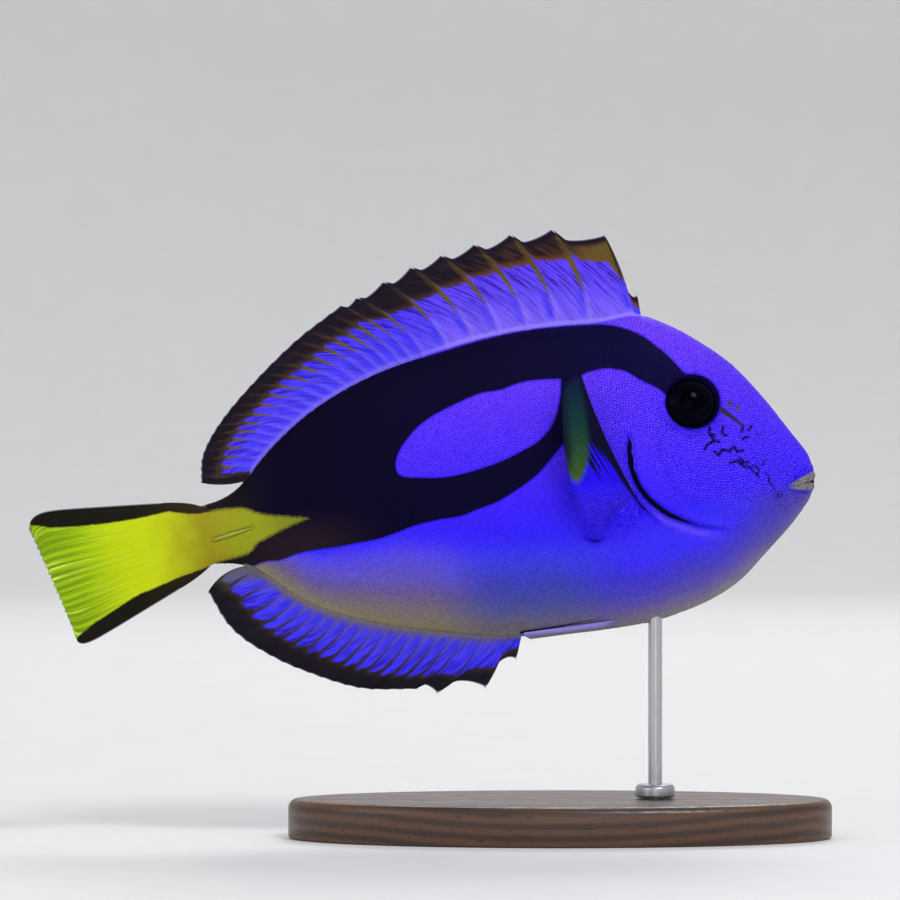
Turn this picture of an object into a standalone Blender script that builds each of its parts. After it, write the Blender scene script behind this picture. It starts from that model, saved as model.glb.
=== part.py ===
# Regal blue tang, life size and nose up, held by one rod on a plain oval base.
#
# The fish is drawn in its own frame, in millimetres: "back" runs from the snout to the tail,
# "up" is square to it in the plane of symmetry, and "out" points to the fish's right side.
# place() sets that frame in the world: head to +X, right side to -Y, base underside at Z = 0.

import math

import bmesh
import bpy
from mathutils import Matrix, Vector

MM = 0.001
GAP = 0.3
SMOOTH_ANGLE = math.radians(40)
HALVINGS = 40

# Pose: the snout's place over the middle of the base, nose up, the tail swept to the right
SNOUT_FORWARD = 57.8
SNOUT_HEIGHT = 81.7
PITCH = math.radians(5.2)
SWEEP_START = 62.0
SWEEP_RATE = 0.0008

# Body stations from snout to tail root: top edge back and up, bottom edge back and up, half width
BODY_STATIONS = (
    (-0.2, 3.3, 0.1, -2.1, 1.3),
    (1.0, 6.6, 1.8, -5.0, 2.9),
    (4.3, 11.7, 5.9, -9.7, 4.5),
    (9.8, 20.0, 12.0, -15.4, 6.4),
    (16.1, 27.9, 18.5, -21.2, 8.1),
    (23.0, 33.8, 25.2, -24.9, 9.3),
    (30.0, 38.4, 32.0, -27.2, 10.0),
    (36.8, 41.1, 39.5, -28.9, 10.4),
    (46.0, 40.4, 49.0, -29.7, 10.7),
    (56.0, 40.5, 59.0, -30.0, 10.6),
    (66.0, 40.0, 69.0, -29.6, 10.1),
    (76.0, 38.6, 79.0, -28.5, 9.4),
    (86.0, 36.4, 88.5, -26.8, 8.4),
    (96.0, 33.8, 98.0, -24.8, 7.3),
    (105.0, 30.3, 106.5, -22.3, 6.2),
    (113.0, 26.1, 114.0, -19.3, 5.2),
    (120.0, 21.0, 120.0, -15.8, 4.3),
    (125.5, 15.9, 124.6, -11.9, 3.7),
    (129.5, 11.2, 129.0, -8.4, 3.3),
    (134.0, 8.2, 133.6, -7.0, 3.0),
    (138.9, 6.9, 137.8, -6.7, 2.6),
)
WIDEST_LEVEL = 0.12
EDGE_POWER = 0.6
RING_POINTS = 32
RINGS_PER_STATION = 2

# The head ends at the edge of the gill cover and the tail stalk at a plain cut
GILL_EDGE = (
    (36.0, 47.0), (37.6, 38.0), (40.2, 28.0), (41.9, 18.0), (41.8, 9.0), (39.4, 2.6),
    (34.6, -3.4), (27.6, -8.0), (19.0, -10.6), (12.0, -15.0), (7.0, -22.0),
)
GILL_EDGE_STEPS = 3
HEAD_CUTTER_FRONT = -9.0
TAIL_CUT = 126.2
TAIL_CUTTER_END = 150.0
CUTTER_REACH = 30.0

# Eyes and lips
EYE_SPOT = (25.9, 20.6)
EYE_SLICES = 20
EYE_RADIUS = 6.0
EYE_DEPTH = 3.7
EYE_STANDS_OUT = 1.8
LIP_CORNER_BACK = 5.9
LIP_CORNER_OUT = 4.3
MOUTH_FRONT = ((-3.0, -2.0), (1.6, -1.7), (1.6, 1.2), (-3.0, 1.6))
LIP_ROUNDNESS = 0.8
LIP_PATH_POINTS = 13
LIP_SIDES = 10
UPPER_LIP = {"rise": 1.15, "front": 0.8, "corner_rise": -0.35, "radius": 1.25, "end_radius": 0.5}
LOWER_LIP = {"rise": -1.6, "front": 1.1, "corner_rise": -1.7, "radius": 1.15, "end_radius": 0.5}

# Fin rays: root back, tip back, tip up. Each spine also has the depth of the notch behind it,
# and the soft rays are spread evenly over the guides
DORSAL_SPINES = (
    (35.8, 36.2, 46.1, 10.0), (37.4, 42.5, 60.2, 2.3), (48.1, 54.4, 62.7, 2.2),
    (55.2, 64.0, 62.4, 1.9), (61.9, 72.4, 60.9, 1.7), (68.4, 80.2, 59.1, 1.6),
    (74.6, 87.4, 57.0, 1.5), (80.5, 93.9, 54.2, 1.2), (86.1, 100.4, 51.1, 0.8),
)
DORSAL_GUIDES = (
    (89.0, 103.8, 49.3), (98.5, 114.5, 42.5), (108.5, 125.0, 33.8),
    (117.5, 133.2, 25.6), (124.2, 138.0, 18.4), (129.3, 139.0, 12.0),
)
DORSAL_SOFT_RAYS = 20
ANAL_SPINES = (
    (69.6, 71.3, -34.9, 5.2), (72.6, 78.9, -40.6, 2.9), (78.6, 90.1, -40.9, 1.3),
)
ANAL_GUIDES = (
    (82.6, 94.6, -39.3), (93.0, 106.5, -38.1), (103.0, 116.5, -34.3),
    (112.5, 126.5, -28.9), (120.5, 135.0, -21.8), (127.3, 139.6, -12.8),
)
ANAL_SOFT_RAYS = 19
SOFT_NOTCH = 0.35
NOTCH_PLACE = 0.8
RAY_BOW = 0.08
FIN_ROWS = 4
MEDIAN_ROOT_HALF = 0.75
MEDIAN_TIP_HALF = 0.27
MEDIAN_TAPER = 0.6
RAY_RIDGE = 0.08

# Tail fin: a fan from the tail root to a nearly straight rear margin
CAUDAL_ROOT_TOP = (139.2, 6.6)
CAUDAL_ROOT_LOW = (138.1, -6.5)
CAUDAL_TIP_TOP = (178.2, 6.4)
CAUDAL_TIP_LOW = (168.7, -22.2)
CAUDAL_BOW = 2.1
CAUDAL_BOW_POWER = 0.7
CAUDAL_RAYS = 18
CAUDAL_ROOT_HALF = 1.5
CAUDAL_TAPER = 2.5

# Paired fins: guides are root back, root up, tip back, tip up, tip distance from the flank
PECTORAL_GUIDES = (
    (40.2, -1.8, 51.2, 29.2, 6.5),
    (41.8, -3.0, 55.4, 26.4, 7.5),
    (43.6, -4.6, 56.7, 17.0, 6.5),
    (45.6, -6.3, 56.2, 7.0, 4.6),
    (47.4, -8.0, 55.6, -2.4, 3.0),
    (48.6, -9.4, 54.0, -8.6, 2.0),
)
PECTORAL_RAYS = 16
PECTORAL_BOW = 0.03
PELVIC_GUIDES = (
    (44.4, -27.6, 68.6, -28.6, 0.5),
    (45.2, -28.5, 68.8, -29.5, 0.8),
    (46.2, -29.4, 66.0, -30.2, 1.1),
)
PELVIC_RAYS = 4
PAIRED_ROOT_HALF = 0.45
PAIRED_TIP_HALF = 0.26
PAIRED_STAND_OFF = 0.6
PAIRED_SPREAD_POWER = 1.3

# The folded blade on each side of the tail stalk: half length, half height, half thickness
BLADE_SPOT = (132.8, 0.0)
BLADE_HALF_SIZES = (4.7, 0.75, 0.6)
BLADE_SLICES = 12

# Stand
BASE_LENGTH = 124.0
BASE_WIDTH = 58.0
BASE_HEIGHT = 9.0
BASE_EDGE = 2.0
BASE_EDGE_STEPS = 3
BASE_SIDES = 48
ROD_X = 21.7
ROD_DIAMETER = 3.2
ROD_FOOT = 3.0
ROD_TOP = 56.0
COLLAR_DIAMETER = 9.0
COLLAR_HEIGHT = 3.0
COLLAR_EDGE = 0.6
ROUND_SIDES = 22


# A smooth curve through a table's rows, read at a place from 0 to the last row's number
def along(rows, spot):
    last = len(rows) - 1
    spot = min(max(spot, 0.0), float(last))
    start = min(int(spot), last - 1)
    part = spot - start
    here = Vector(rows[start])
    after = Vector(rows[start + 1])
    before = Vector(rows[start - 1]) if start > 0 else 2.0 * here - after
    beyond = Vector(rows[start + 2]) if start + 2 <= last else 2.0 * after - here
    slope = (after - before) * part
    curve = (2.0 * before - 5.0 * here + 4.0 * after - beyond) * part ** 2
    twist = (3.0 * here - before - 3.0 * after + beyond) * part ** 3
    return 0.5 * (2.0 * here + slope + curve + twist)


# From the fish's frame to the world
def place(back, up, out):
    sweep = SWEEP_RATE * max(0.0, back - SWEEP_START) ** 2
    x = SNOUT_FORWARD - back * math.cos(PITCH) - up * math.sin(PITCH)
    z = SNOUT_HEIGHT + up * math.cos(PITCH) - back * math.sin(PITCH)
    return Vector((x, -out - sweep, z)) * MM


# Half width of a body section at a level from -1 (bottom edge) to 1 (top edge)
def section_out(half_width, level):
    if level > WIDEST_LEVEL:
        reach = (level - WIDEST_LEVEL) / (1.0 - WIDEST_LEVEL)
    else:
        reach = (WIDEST_LEVEL - level) / (1.0 + WIDEST_LEVEL)
    return half_width * max(0.0, 1.0 - reach ** 2) ** EDGE_POWER


def body_point(station, turn):
    top_back, top_up, low_back, low_up, half_width = along(BODY_STATIONS, station)
    level = math.sin(turn)
    share = 0.5 * (1.0 + level)
    side = 1.0 if math.cos(turn) > 0.0 else -1.0
    back = low_back + (top_back - low_back) * share
    up = low_up + (top_up - low_up) * share
    return back, up, side * section_out(half_width, level)


# The station whose section line passes through a point of the side view, found by halving
def station_at(back, up):
    low, high = 0.0, len(BODY_STATIONS) - 1.0
    for _ in range(HALVINGS):
        middle = 0.5 * (low + high)
        top_back, top_up, low_back, low_up, _ = along(BODY_STATIONS, middle)
        share = (up - low_up) / (top_up - low_up)
        if low_back + (top_back - low_back) * share < back:
            low = middle
        else:
            high = middle
    return low


# Distance from the midplane to the flank at a point of the side view
def flank_out(back, up):
    top_back, top_up, low_back, low_up, half_width = along(BODY_STATIONS, station_at(back, up))
    level = 2.0 * (up - low_up) / (top_up - low_up) - 1.0
    return section_out(half_width, max(-1.0, min(1.0, level)))


# Height of the body's top or bottom edge at a distance behind the snout
def edge_up(back, top):
    low, high = 0.0, len(BODY_STATIONS) - 1.0
    column = 0 if top else 2
    for _ in range(HALVINGS):
        middle = 0.5 * (low + high)
        if along(BODY_STATIONS, middle)[column] < back:
            low = middle
        else:
            high = middle
    return along(BODY_STATIONS, low)[column + 1]


def paint(name, colour, roughness, metallic=0.0):
    material = bpy.data.materials.new(name)
    material.use_nodes = True
    shader = material.node_tree.nodes["Principled BSDF"]
    shader.inputs["Base Color"].default_value = (*colour, 1.0)
    shader.inputs["Roughness"].default_value = roughness
    shader.inputs["Metallic"].default_value = metallic
    material.diffuse_color = (*colour, 1.0)
    return material


def add_object(name, mesh, material=None):
    thing = bpy.data.objects.new(name, mesh)
    bpy.context.scene.collection.objects.link(thing)
    if material:
        mesh.materials.append(material)
    mesh.shade_smooth()
    mesh.set_sharp_from_angle(angle=SMOOTH_ANGLE)
    return thing


def mesh_from(name, points, faces):
    mesh = bpy.data.meshes.new(name)
    mesh.from_pydata(points, [], faces)
    shape = bmesh.new()
    shape.from_mesh(mesh)
    bmesh.ops.recalc_face_normals(shape, faces=shape.faces)
    shape.to_mesh(mesh)
    shape.free()
    return mesh


def cut(thing, cutter, operation="DIFFERENCE"):
    cutter.hide_render = True
    cutter.display_type = "WIRE"
    modifier = thing.modifiers.new(cutter.name, "BOOLEAN")
    modifier.operation = operation
    modifier.solver = "EXACT"
    modifier.object = cutter


# A closed tube of rings, each a list of points, with a flat cap at both ends
def tube_mesh(name, rings):
    sides = len(rings[0])
    points = [point for ring in rings for point in ring]
    faces = [tuple(range(sides)), tuple(range(len(points) - sides, len(points)))]
    for ring in range(len(rings) - 1):
        for side in range(sides):
            after = (side + 1) % sides
            first = ring * sides
            faces.append((first + side, first + after, first + sides + after, first + sides + side))
    return mesh_from(name, points, faces)


def body_mesh():
    count = RINGS_PER_STATION * (len(BODY_STATIONS) - 1)
    turns = [2.0 * math.pi * step / RING_POINTS for step in range(RING_POINTS)]
    rings = []
    for ring in range(count + 1):
        station = ring / RINGS_PER_STATION
        rings.append([place(*body_point(station, turn)) for turn in turns])
    return tube_mesh("body", rings)


# A side-view outline pushed through the whole fish
def side_cutter(name, outline):
    rings = [[place(back, up, out) for back, up in outline] for out in (-CUTTER_REACH, CUTTER_REACH)]
    return add_object(name, tube_mesh(name, rings))


# Everything in front of the gill edge, which is moved back by "grow"
def head_cutter(name, grow):
    count = GILL_EDGE_STEPS * (len(GILL_EDGE) - 1)
    edge = [along(GILL_EDGE, step / GILL_EDGE_STEPS) for step in range(count + 1)]
    outline = []
    for step, spot in enumerate(edge):
        run = edge[min(step + 1, count)] - edge[max(step - 1, 0)]
        outline.append(spot + Vector((-run.y, run.x)).normalized() * grow)
    outline += [Vector((HEAD_CUTTER_FRONT, row[1])) for row in (GILL_EDGE[-1], GILL_EDGE[0])]
    return side_cutter(name, [(spot.x, spot.y) for spot in outline])


def tail_cutter(name, start):
    end = TAIL_CUTTER_END
    reach = CUTTER_REACH
    return side_cutter(name, [(start, -reach), (end, -reach), (end, reach), (start, reach)])


def on_flank(back, up, side):
    return place(back, up, side * flank_out(back, up))


# A round shape with half sizes along the flank, up it and out of it, its middle "sunk" below it
def flank_oval(name, spot, side, half_sizes, sunk, slices):
    back, up = spot
    middle = on_flank(back, up, side)
    ahead = (on_flank(back - 1.0, up, side) - middle).normalized()
    rise = (on_flank(back, up + 1.0, side) - middle).normalized()
    outward = ahead.cross(rise).normalized() * side
    rise = outward.cross(ahead) * side
    middle -= outward * sunk * MM
    half_along, half_up, half_out = (size * MM for size in half_sizes)
    axes = Matrix((ahead * half_along, rise * half_up, outward * half_out)).transposed().to_4x4()
    shape = bmesh.new()
    bmesh.ops.create_uvsphere(shape, u_segments=slices, v_segments=slices // 2, radius=1.0)
    bmesh.ops.transform(shape, matrix=Matrix.Translation(middle) @ axes, verts=shape.verts)
    bmesh.ops.recalc_face_normals(shape, faces=shape.faces)
    mesh = bpy.data.meshes.new(name)
    shape.to_mesh(mesh)
    shape.free()
    return mesh


# An oval piece on each side of the fish, with the seat that it needs in the flesh
def build_flank_pair(name, flesh, spot, half_sizes, sunk, slices, colour):
    seat_sizes = tuple(size + GAP for size in half_sizes)
    for side, label in ((1.0, "right"), (-1.0, "left")):
        piece = f"{name}_{label}"
        add_object(piece, flank_oval(piece, spot, side, half_sizes, sunk, slices), colour)
        seat = f"seat_of_{piece}"
        cut(flesh, add_object(seat, flank_oval(seat, spot, side, seat_sizes, sunk, slices)))


# A lip runs from the right corner of the mouth round the snout to the left corner
def lip_mesh(name, lip, grow):
    rings = []
    for step in range(LIP_PATH_POINTS):
        swing = math.pi * (step / (LIP_PATH_POINTS - 1) - 0.5)
        ahead = math.cos(swing)
        back = LIP_CORNER_BACK + (lip["front"] - LIP_CORNER_BACK) * ahead ** LIP_ROUNDNESS
        out = -LIP_CORNER_OUT * math.sin(swing)
        up = lip["corner_rise"] + (lip["rise"] - lip["corner_rise"]) * ahead
        radius = lip["end_radius"] + (lip["radius"] - lip["end_radius"]) * ahead ** 0.5 + grow
        ring = []
        for side in range(LIP_SIDES):
            turn = 2.0 * math.pi * side / LIP_SIDES
            reach = -radius * math.cos(turn)
            ahead_back = back + reach * math.cos(swing)
            ring.append(place(ahead_back, up + radius * math.sin(turn), out + reach * math.sin(swing)))
        rings.append(ring)
    return tube_mesh(name, rings)


# The lips stand in front of the head, which ends behind the slit between them
def build_lips(head, colour):
    cut(head, side_cutter("mouth_front", MOUTH_FRONT))
    for name, lip in (("upper_lip", UPPER_LIP), ("lower_lip", LOWER_LIP)):
        add_object(name, lip_mesh(name, lip, 0.0), colour)
        cut(head, add_object(f"{name}_seat", lip_mesh(f"{name}_seat", lip, GAP)))


# A thin closed sheet from a grid of side-view points, its half thickness given at each
def sheet_mesh(name, columns, side=1.0):
    rows = len(columns[0])
    points = []
    for sign in (1.0, -1.0):
        for column in columns:
            points += [place(back, up, side * (out + sign * half)) for back, up, out, half in column]
    count = len(columns)
    far = count * rows
    faces = []
    for column in range(count - 1):
        for row in range(rows - 1):
            corner = column * rows + row
            face = (corner, corner + 1, corner + rows + 1, corner + rows)
            faces.append(face)
            faces.append(tuple(far + index for index in reversed(face)))
    rim = [column * rows for column in range(count)]
    rim += [(count - 1) * rows + row for row in range(1, rows)]
    rim += [column * rows + rows - 1 for column in range(count - 2, -1, -1)]
    rim += [row for row in range(rows - 2, 0, -1)]
    for step, index in enumerate(rim):
        after = rim[(step + 1) % len(rim)]
        faces.append((index, after, far + after, far + index))
    return mesh_from(name, points, faces)


# Rays of a fin on the midline: root, tip, notch; the soft rays are spread over the guides
def median_rays(spines, guides, soft_count, top):
    shift = GAP if top else -GAP
    table = list(spines)
    for step in range(soft_count):
        table.append((*along(guides, step * (len(guides) - 1) / (soft_count - 1)), SOFT_NOTCH))
    rays = []
    for root_back, tip_back, tip_up, notch in table:
        root = Vector((root_back, edge_up(root_back, top) + shift))
        rays.append((root, Vector((tip_back, tip_up)), notch))
    return rays


# Columns of the fin's grid: on each ray and at the notch before the next
def median_columns(rays, top):
    forward = -1.0 if top else 1.0
    shift = GAP if top else -GAP
    columns = []
    for number, (root, tip, notch) in enumerate(rays):
        last = number == len(rays) - 1
        next_root, next_tip, _ = rays[number if last else number + 1]
        parts = (0.0, 0.5 * NOTCH_PLACE, NOTCH_PLACE) if notch > SOFT_NOTCH else (0.0, NOTCH_PLACE)
        for part in (0.0,) if last else parts:
            root_back = root.x + (next_root.x - root.x) * part
            foot = Vector((root_back, edge_up(root_back, top) + shift))
            run = tip.lerp(next_tip, part) - foot
            run -= run.normalized() * notch * part / NOTCH_PLACE
            bow = Vector((run.y, -run.x)) * forward * RAY_BOW
            ridge = RAY_RIDGE if part == 0.0 else 0.0
            column = []
            for row in range(FIN_ROWS):
                share = row / (FIN_ROWS - 1)
                spot = foot + run * share + bow * 4.0 * share * (1.0 - share)
                half = MEDIAN_ROOT_HALF + (MEDIAN_TIP_HALF - MEDIAN_ROOT_HALF) * share ** MEDIAN_TAPER
                column.append((spot.x, spot.y, 0.0, half + ridge * (1.0 - share)))
            columns.append(column)
    return columns


def build_median_fins(colour):
    dorsal = median_rays(DORSAL_SPINES, DORSAL_GUIDES, DORSAL_SOFT_RAYS, True)
    columns = median_columns(dorsal, True)
    add_object("dorsal_fin", sheet_mesh("dorsal_fin", columns), colour)
    anal = median_rays(ANAL_SPINES, ANAL_GUIDES, ANAL_SOFT_RAYS, False)
    columns = median_columns(anal, False)
    add_object("anal_fin", sheet_mesh("anal_fin", columns), colour)


def build_caudal_fin(colour):
    columns = []
    for step in range(2 * CAUDAL_RAYS - 1):
        share = step / (2 * CAUDAL_RAYS - 2)
        root = Vector(CAUDAL_ROOT_TOP).lerp(Vector(CAUDAL_ROOT_LOW), share)
        tip = Vector(CAUDAL_TIP_TOP).lerp(Vector(CAUDAL_TIP_LOW), share)
        bow = CAUDAL_BOW * (1.0 - 2.0 * share)
        ridge = RAY_RIDGE if step % 2 == 0 else 0.0
        root_half = CAUDAL_ROOT_HALF * (1.0 - (2.0 * share - 1.0) ** 2) ** 0.5 + MEDIAN_TIP_HALF
        column = []
        for row in range(FIN_ROWS + 1):
            reach = row / FIN_ROWS
            spot = root.lerp(tip, reach)
            lift = bow * (4.0 * reach * (1.0 - reach)) ** CAUDAL_BOW_POWER
            half = MEDIAN_TIP_HALF + (root_half - MEDIAN_TIP_HALF) * (1.0 - reach) ** CAUDAL_TAPER
            half += ridge * reach * (1.0 - reach) * 2.0
            column.append((spot.x, spot.y + lift, 0.0, half))
        columns.append(column)
    add_object("caudal_fin", sheet_mesh("caudal_fin", columns), colour)


# Both fins of a pair, standing off the flank at the root and further at the tips
def build_paired_fins(name, guides, rays, bow, colour):
    columns = []
    for step in range(2 * rays - 1):
        guide = along(guides, step * (len(guides) - 1) / (2 * rays - 2))
        root_back, root_up, tip_back, tip_up, stand_off = guide
        root = Vector((root_back, root_up))
        run = Vector((tip_back, tip_up)) - root
        across = Vector((run.y, -run.x)) * bow
        ridge = RAY_RIDGE if step % 2 == 0 else 0.0
        column = []
        for row in range(FIN_ROWS):
            reach = row / (FIN_ROWS - 1)
            spot = root + run * reach + across * 4.0 * reach * (1.0 - reach)
            half = PAIRED_ROOT_HALF + (PAIRED_TIP_HALF - PAIRED_ROOT_HALF) * reach + ridge * (1.0 - reach)
            out = flank_out(root_back, root_up) + GAP + PAIRED_STAND_OFF
            surface = flank_out(spot.x, spot.y) + GAP + PAIRED_STAND_OFF + stand_off * reach ** PAIRED_SPREAD_POWER
            column.append((spot.x, spot.y, max(surface, out * (1.0 - reach)), half))
        columns.append(column)
    for side, label in ((1.0, "right"), (-1.0, "left")):
        add_object(f"{name}_{label}", sheet_mesh(f"{name}_{label}", columns, side), colour)


def round_bar(name, diameter, foot, top, x, edge=0.0):
    shape = bmesh.new()
    bmesh.ops.create_cone(
        shape, cap_ends=True, segments=ROUND_SIDES,
        radius1=0.5 * diameter * MM, radius2=0.5 * diameter * MM, depth=(top - foot) * MM,
    )
    if edge:
        rims = [line for line in shape.edges if abs(line.verts[0].co.z - line.verts[1].co.z) < 1e-9]
        bmesh.ops.bevel(shape, geom=rims, offset=edge * MM, segments=1, affect="EDGES", profile=0.5)
    middle = Vector((x, 0.0, 0.5 * (foot + top))) * MM
    bmesh.ops.translate(shape, verts=shape.verts, vec=middle)
    mesh = bpy.data.meshes.new(name)
    shape.to_mesh(mesh)
    shape.free()
    return mesh


def base_mesh():
    rings = []
    for step in range(-1, BASE_EDGE_STEPS + 1):
        turn = 0.5 * math.pi * max(step, 0) / BASE_EDGE_STEPS
        inset = BASE_EDGE * (1.0 - math.cos(turn))
        height = BASE_HEIGHT - BASE_EDGE * (1.0 - math.sin(turn)) if step >= 0 else 0.0
        ring = []
        for side in range(BASE_SIDES):
            angle = 2.0 * math.pi * side / BASE_SIDES
            x = (0.5 * BASE_LENGTH - inset) * math.cos(angle)
            y = (0.5 * BASE_WIDTH - inset) * math.sin(angle)
            ring.append(Vector((x, y, height)) * MM)
        rings.append(ring)
    return tube_mesh("stand_base", rings)


# The hole for the rod, through the collar and into the base and the belly
def rod_bore():
    bore = ROD_DIAMETER + 2.0 * GAP
    return add_object("rod_bore", round_bar("rod_bore", bore, ROD_FOOT - GAP, ROD_TOP + GAP, ROD_X))


def build_stand(bore, wood, steel):
    base = add_object("stand_base", base_mesh(), wood)
    collar_foot = BASE_HEIGHT + GAP
    collar_top = collar_foot + COLLAR_HEIGHT
    collar_mesh = round_bar("stand_collar", COLLAR_DIAMETER, collar_foot, collar_top, ROD_X, COLLAR_EDGE)
    collar = add_object("stand_collar", collar_mesh, steel)
    add_object("stand_rod", round_bar("stand_rod", ROD_DIAMETER, ROD_FOOT, ROD_TOP, ROD_X), steel)
    cut(base, bore)
    cut(collar, bore)


# One closed body, parted into three by thin cuts
def build_body(bore, skin):
    mesh = body_mesh()
    head = add_object("head", mesh, skin)
    trunk = add_object("trunk", mesh.copy())
    tail_stalk = add_object("tail_stalk", mesh.copy())
    cut(head, head_cutter("head_side", 0.0), "INTERSECT")
    cut(trunk, bore)
    cut(trunk, head_cutter("head_side_and_gap", GAP))
    cut(trunk, tail_cutter("tail_side_and_gap", TAIL_CUT - GAP))
    cut(tail_stalk, tail_cutter("tail_side", TAIL_CUT), "INTERSECT")
    return head, tail_stalk


def main():
    for thing in list(bpy.data.objects):
        bpy.data.objects.remove(thing, do_unlink=True)
    skin = paint("tang_blue", (0.055, 0.03, 0.85), 0.45)
    fin_blue = paint("fin_blue", (0.09, 0.05, 0.7), 0.5)
    tail_yellow = paint("tail_yellow", (0.62, 0.6, 0.02), 0.5)
    fin_green = paint("fin_green", (0.05, 0.12, 0.06), 0.5)
    lip_grey = paint("lip_grey", (0.16, 0.15, 0.22), 0.5)
    eye_black = paint("eye_black", (0.003, 0.003, 0.012), 0.1)
    wood = paint("dark_wood", (0.06, 0.03, 0.015), 0.45)
    steel = paint("brushed_steel", (0.6, 0.6, 0.6), 0.3, 1.0)

    bore = rod_bore()
    head, tail_stalk = build_body(bore, skin)
    eye_sizes = (EYE_RADIUS, EYE_RADIUS, EYE_DEPTH)
    build_flank_pair("eye", head, EYE_SPOT, eye_sizes, EYE_DEPTH - EYE_STANDS_OUT, EYE_SLICES, eye_black)
    build_lips(head, lip_grey)
    build_median_fins(fin_blue)
    build_caudal_fin(tail_yellow)
    build_paired_fins("pectoral_fin", PECTORAL_GUIDES, PECTORAL_RAYS, PECTORAL_BOW, fin_green)
    build_paired_fins("pelvic_fin", PELVIC_GUIDES, PELVIC_RAYS, 0.0, fin_blue)
    blade_sizes = BLADE_HALF_SIZES
    build_flank_pair("caudal_spine", tail_stalk, BLADE_SPOT, blade_sizes, 0.0, BLADE_SLICES, tail_yellow)
    build_stand(bore, wood, steel)


main()
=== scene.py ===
import math

import bpy
import numpy as np
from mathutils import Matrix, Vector


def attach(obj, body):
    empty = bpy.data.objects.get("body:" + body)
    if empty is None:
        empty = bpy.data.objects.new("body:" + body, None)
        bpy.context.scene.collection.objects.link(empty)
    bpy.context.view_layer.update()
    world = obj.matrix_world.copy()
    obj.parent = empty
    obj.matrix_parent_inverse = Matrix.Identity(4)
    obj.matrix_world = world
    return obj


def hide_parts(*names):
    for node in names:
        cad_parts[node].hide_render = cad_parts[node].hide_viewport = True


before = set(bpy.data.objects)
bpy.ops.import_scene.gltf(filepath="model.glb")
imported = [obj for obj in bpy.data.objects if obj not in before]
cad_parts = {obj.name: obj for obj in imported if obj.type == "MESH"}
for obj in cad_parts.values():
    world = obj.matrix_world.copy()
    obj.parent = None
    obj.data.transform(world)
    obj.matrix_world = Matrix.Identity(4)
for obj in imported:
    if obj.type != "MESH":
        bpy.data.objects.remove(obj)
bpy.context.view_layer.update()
mm = 0.001
dice = np.random.default_rng(11)
sides = (("right", 1), ("left", -1))

# Everything on the fish is drawn in its own frame, in millimetres: back runs from the snout to
# the tail, up is square to it, out points to the right side. place() sets that in the world.
pose = {
    "snoutForward": 57.8, "snoutHeight": 81.7, "pitch": math.radians(5.2),
    "sweepStart": 62, "sweepRate": 0.0008,
}


def place(points):
    back, up, out = np.moveaxis(points, -1, 0)
    sweep = pose["sweepRate"] * np.maximum(0, back - pose["sweepStart"]) ** 2
    cosine, sine = math.cos(pose["pitch"]), math.sin(pose["pitch"])
    x = pose["snoutForward"] - back * cosine - up * sine
    z = pose["snoutHeight"] + up * cosine - back * sine
    return np.stack([x, -out - sweep, z], axis=-1) * mm


# Eases from 0 at low to 1 at high, either way round
def smooth(low, high, value):
    share = np.clip((value - low) / (high - low), 0, 1)
    return share * share * (3 - 2 * share)


# Rises from low to full and falls again from fading to gone
def between(value, low, full, fading, gone):
    return smooth(low, full, value) * smooth(gone, fading, value)


def bell(value, width):
    return np.exp(-(value / width) ** 2)


def mix(first, second, share):
    return first + (second - first) * share


def unit(vectors):
    return vectors / np.linalg.norm(vectors, axis=-1, keepdims=True)


# The value at a place, from rows of place and value with straight lines between them
def readOff(rows, spot):
    return np.interp(spot, *np.transpose(rows))


# A smooth curve through the rows of a table, read at places from 0 to the last row's number
def along(rows, spot):
    rows = np.asarray(rows, float)
    last = len(rows) - 1
    spot = np.clip(np.asarray(spot, float), 0, last)
    start = np.minimum(spot.astype(int), last - 1)
    part = (spot - start)[..., None]
    here, after = rows[start], rows[start + 1]
    before = np.where(start[..., None] > 0, rows[np.maximum(start - 1, 0)], 2 * here - after)
    beyond = np.where(start[..., None] + 2 <= last, rows[np.minimum(start + 2, last)], 2 * after - here)
    curve = (2 * before - 5 * here + 4 * after - beyond) * part ** 2
    twist = (3 * here - before - 3 * after + beyond) * part ** 3
    return 0.5 * (2 * here + (after - before) * part + curve + twist)


def smoothLine(points, steps=4):
    return along(points, np.linspace(0, len(points) - 1, steps * (len(points) - 1) + 1))


def stepLengths(line):
    return np.linalg.norm(np.diff(line, axis=0), axis=1)


def runningSum(steps):
    return np.concatenate([[0], np.cumsum(steps)])


def toSpot(spot, back, up):
    return np.hypot(back - spot[0], up - spot[1])


# Distance to an open line, the share of its length at the nearest point, and the side (+ or -)
def lineField(back, up, line):
    best = np.full(back.shape, 1e9)
    share, side = np.zeros(back.shape), np.ones(back.shape)
    reached = runningSum(stepLengths(line))
    reached /= reached[-1]
    for number, (first, second) in enumerate(zip(line[:-1], line[1:])):
        run = second - first
        part = ((back - first[0]) * run[0] + (up - first[1]) * run[1]) / max(run @ run, 1e-9)
        part = np.clip(part, 0, 1)
        offBack = back - first[0] - run[0] * part
        offUp = up - first[1] - run[1] * part
        distance = np.hypot(offBack, offUp)
        closer = distance < best
        best = np.where(closer, distance, best)
        share = np.where(closer, mix(reached[number], reached[number + 1], part), share)
        side = np.where(closer, np.sign(run[0] * offUp - run[1] * offBack), side)
    return best, share, side


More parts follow.
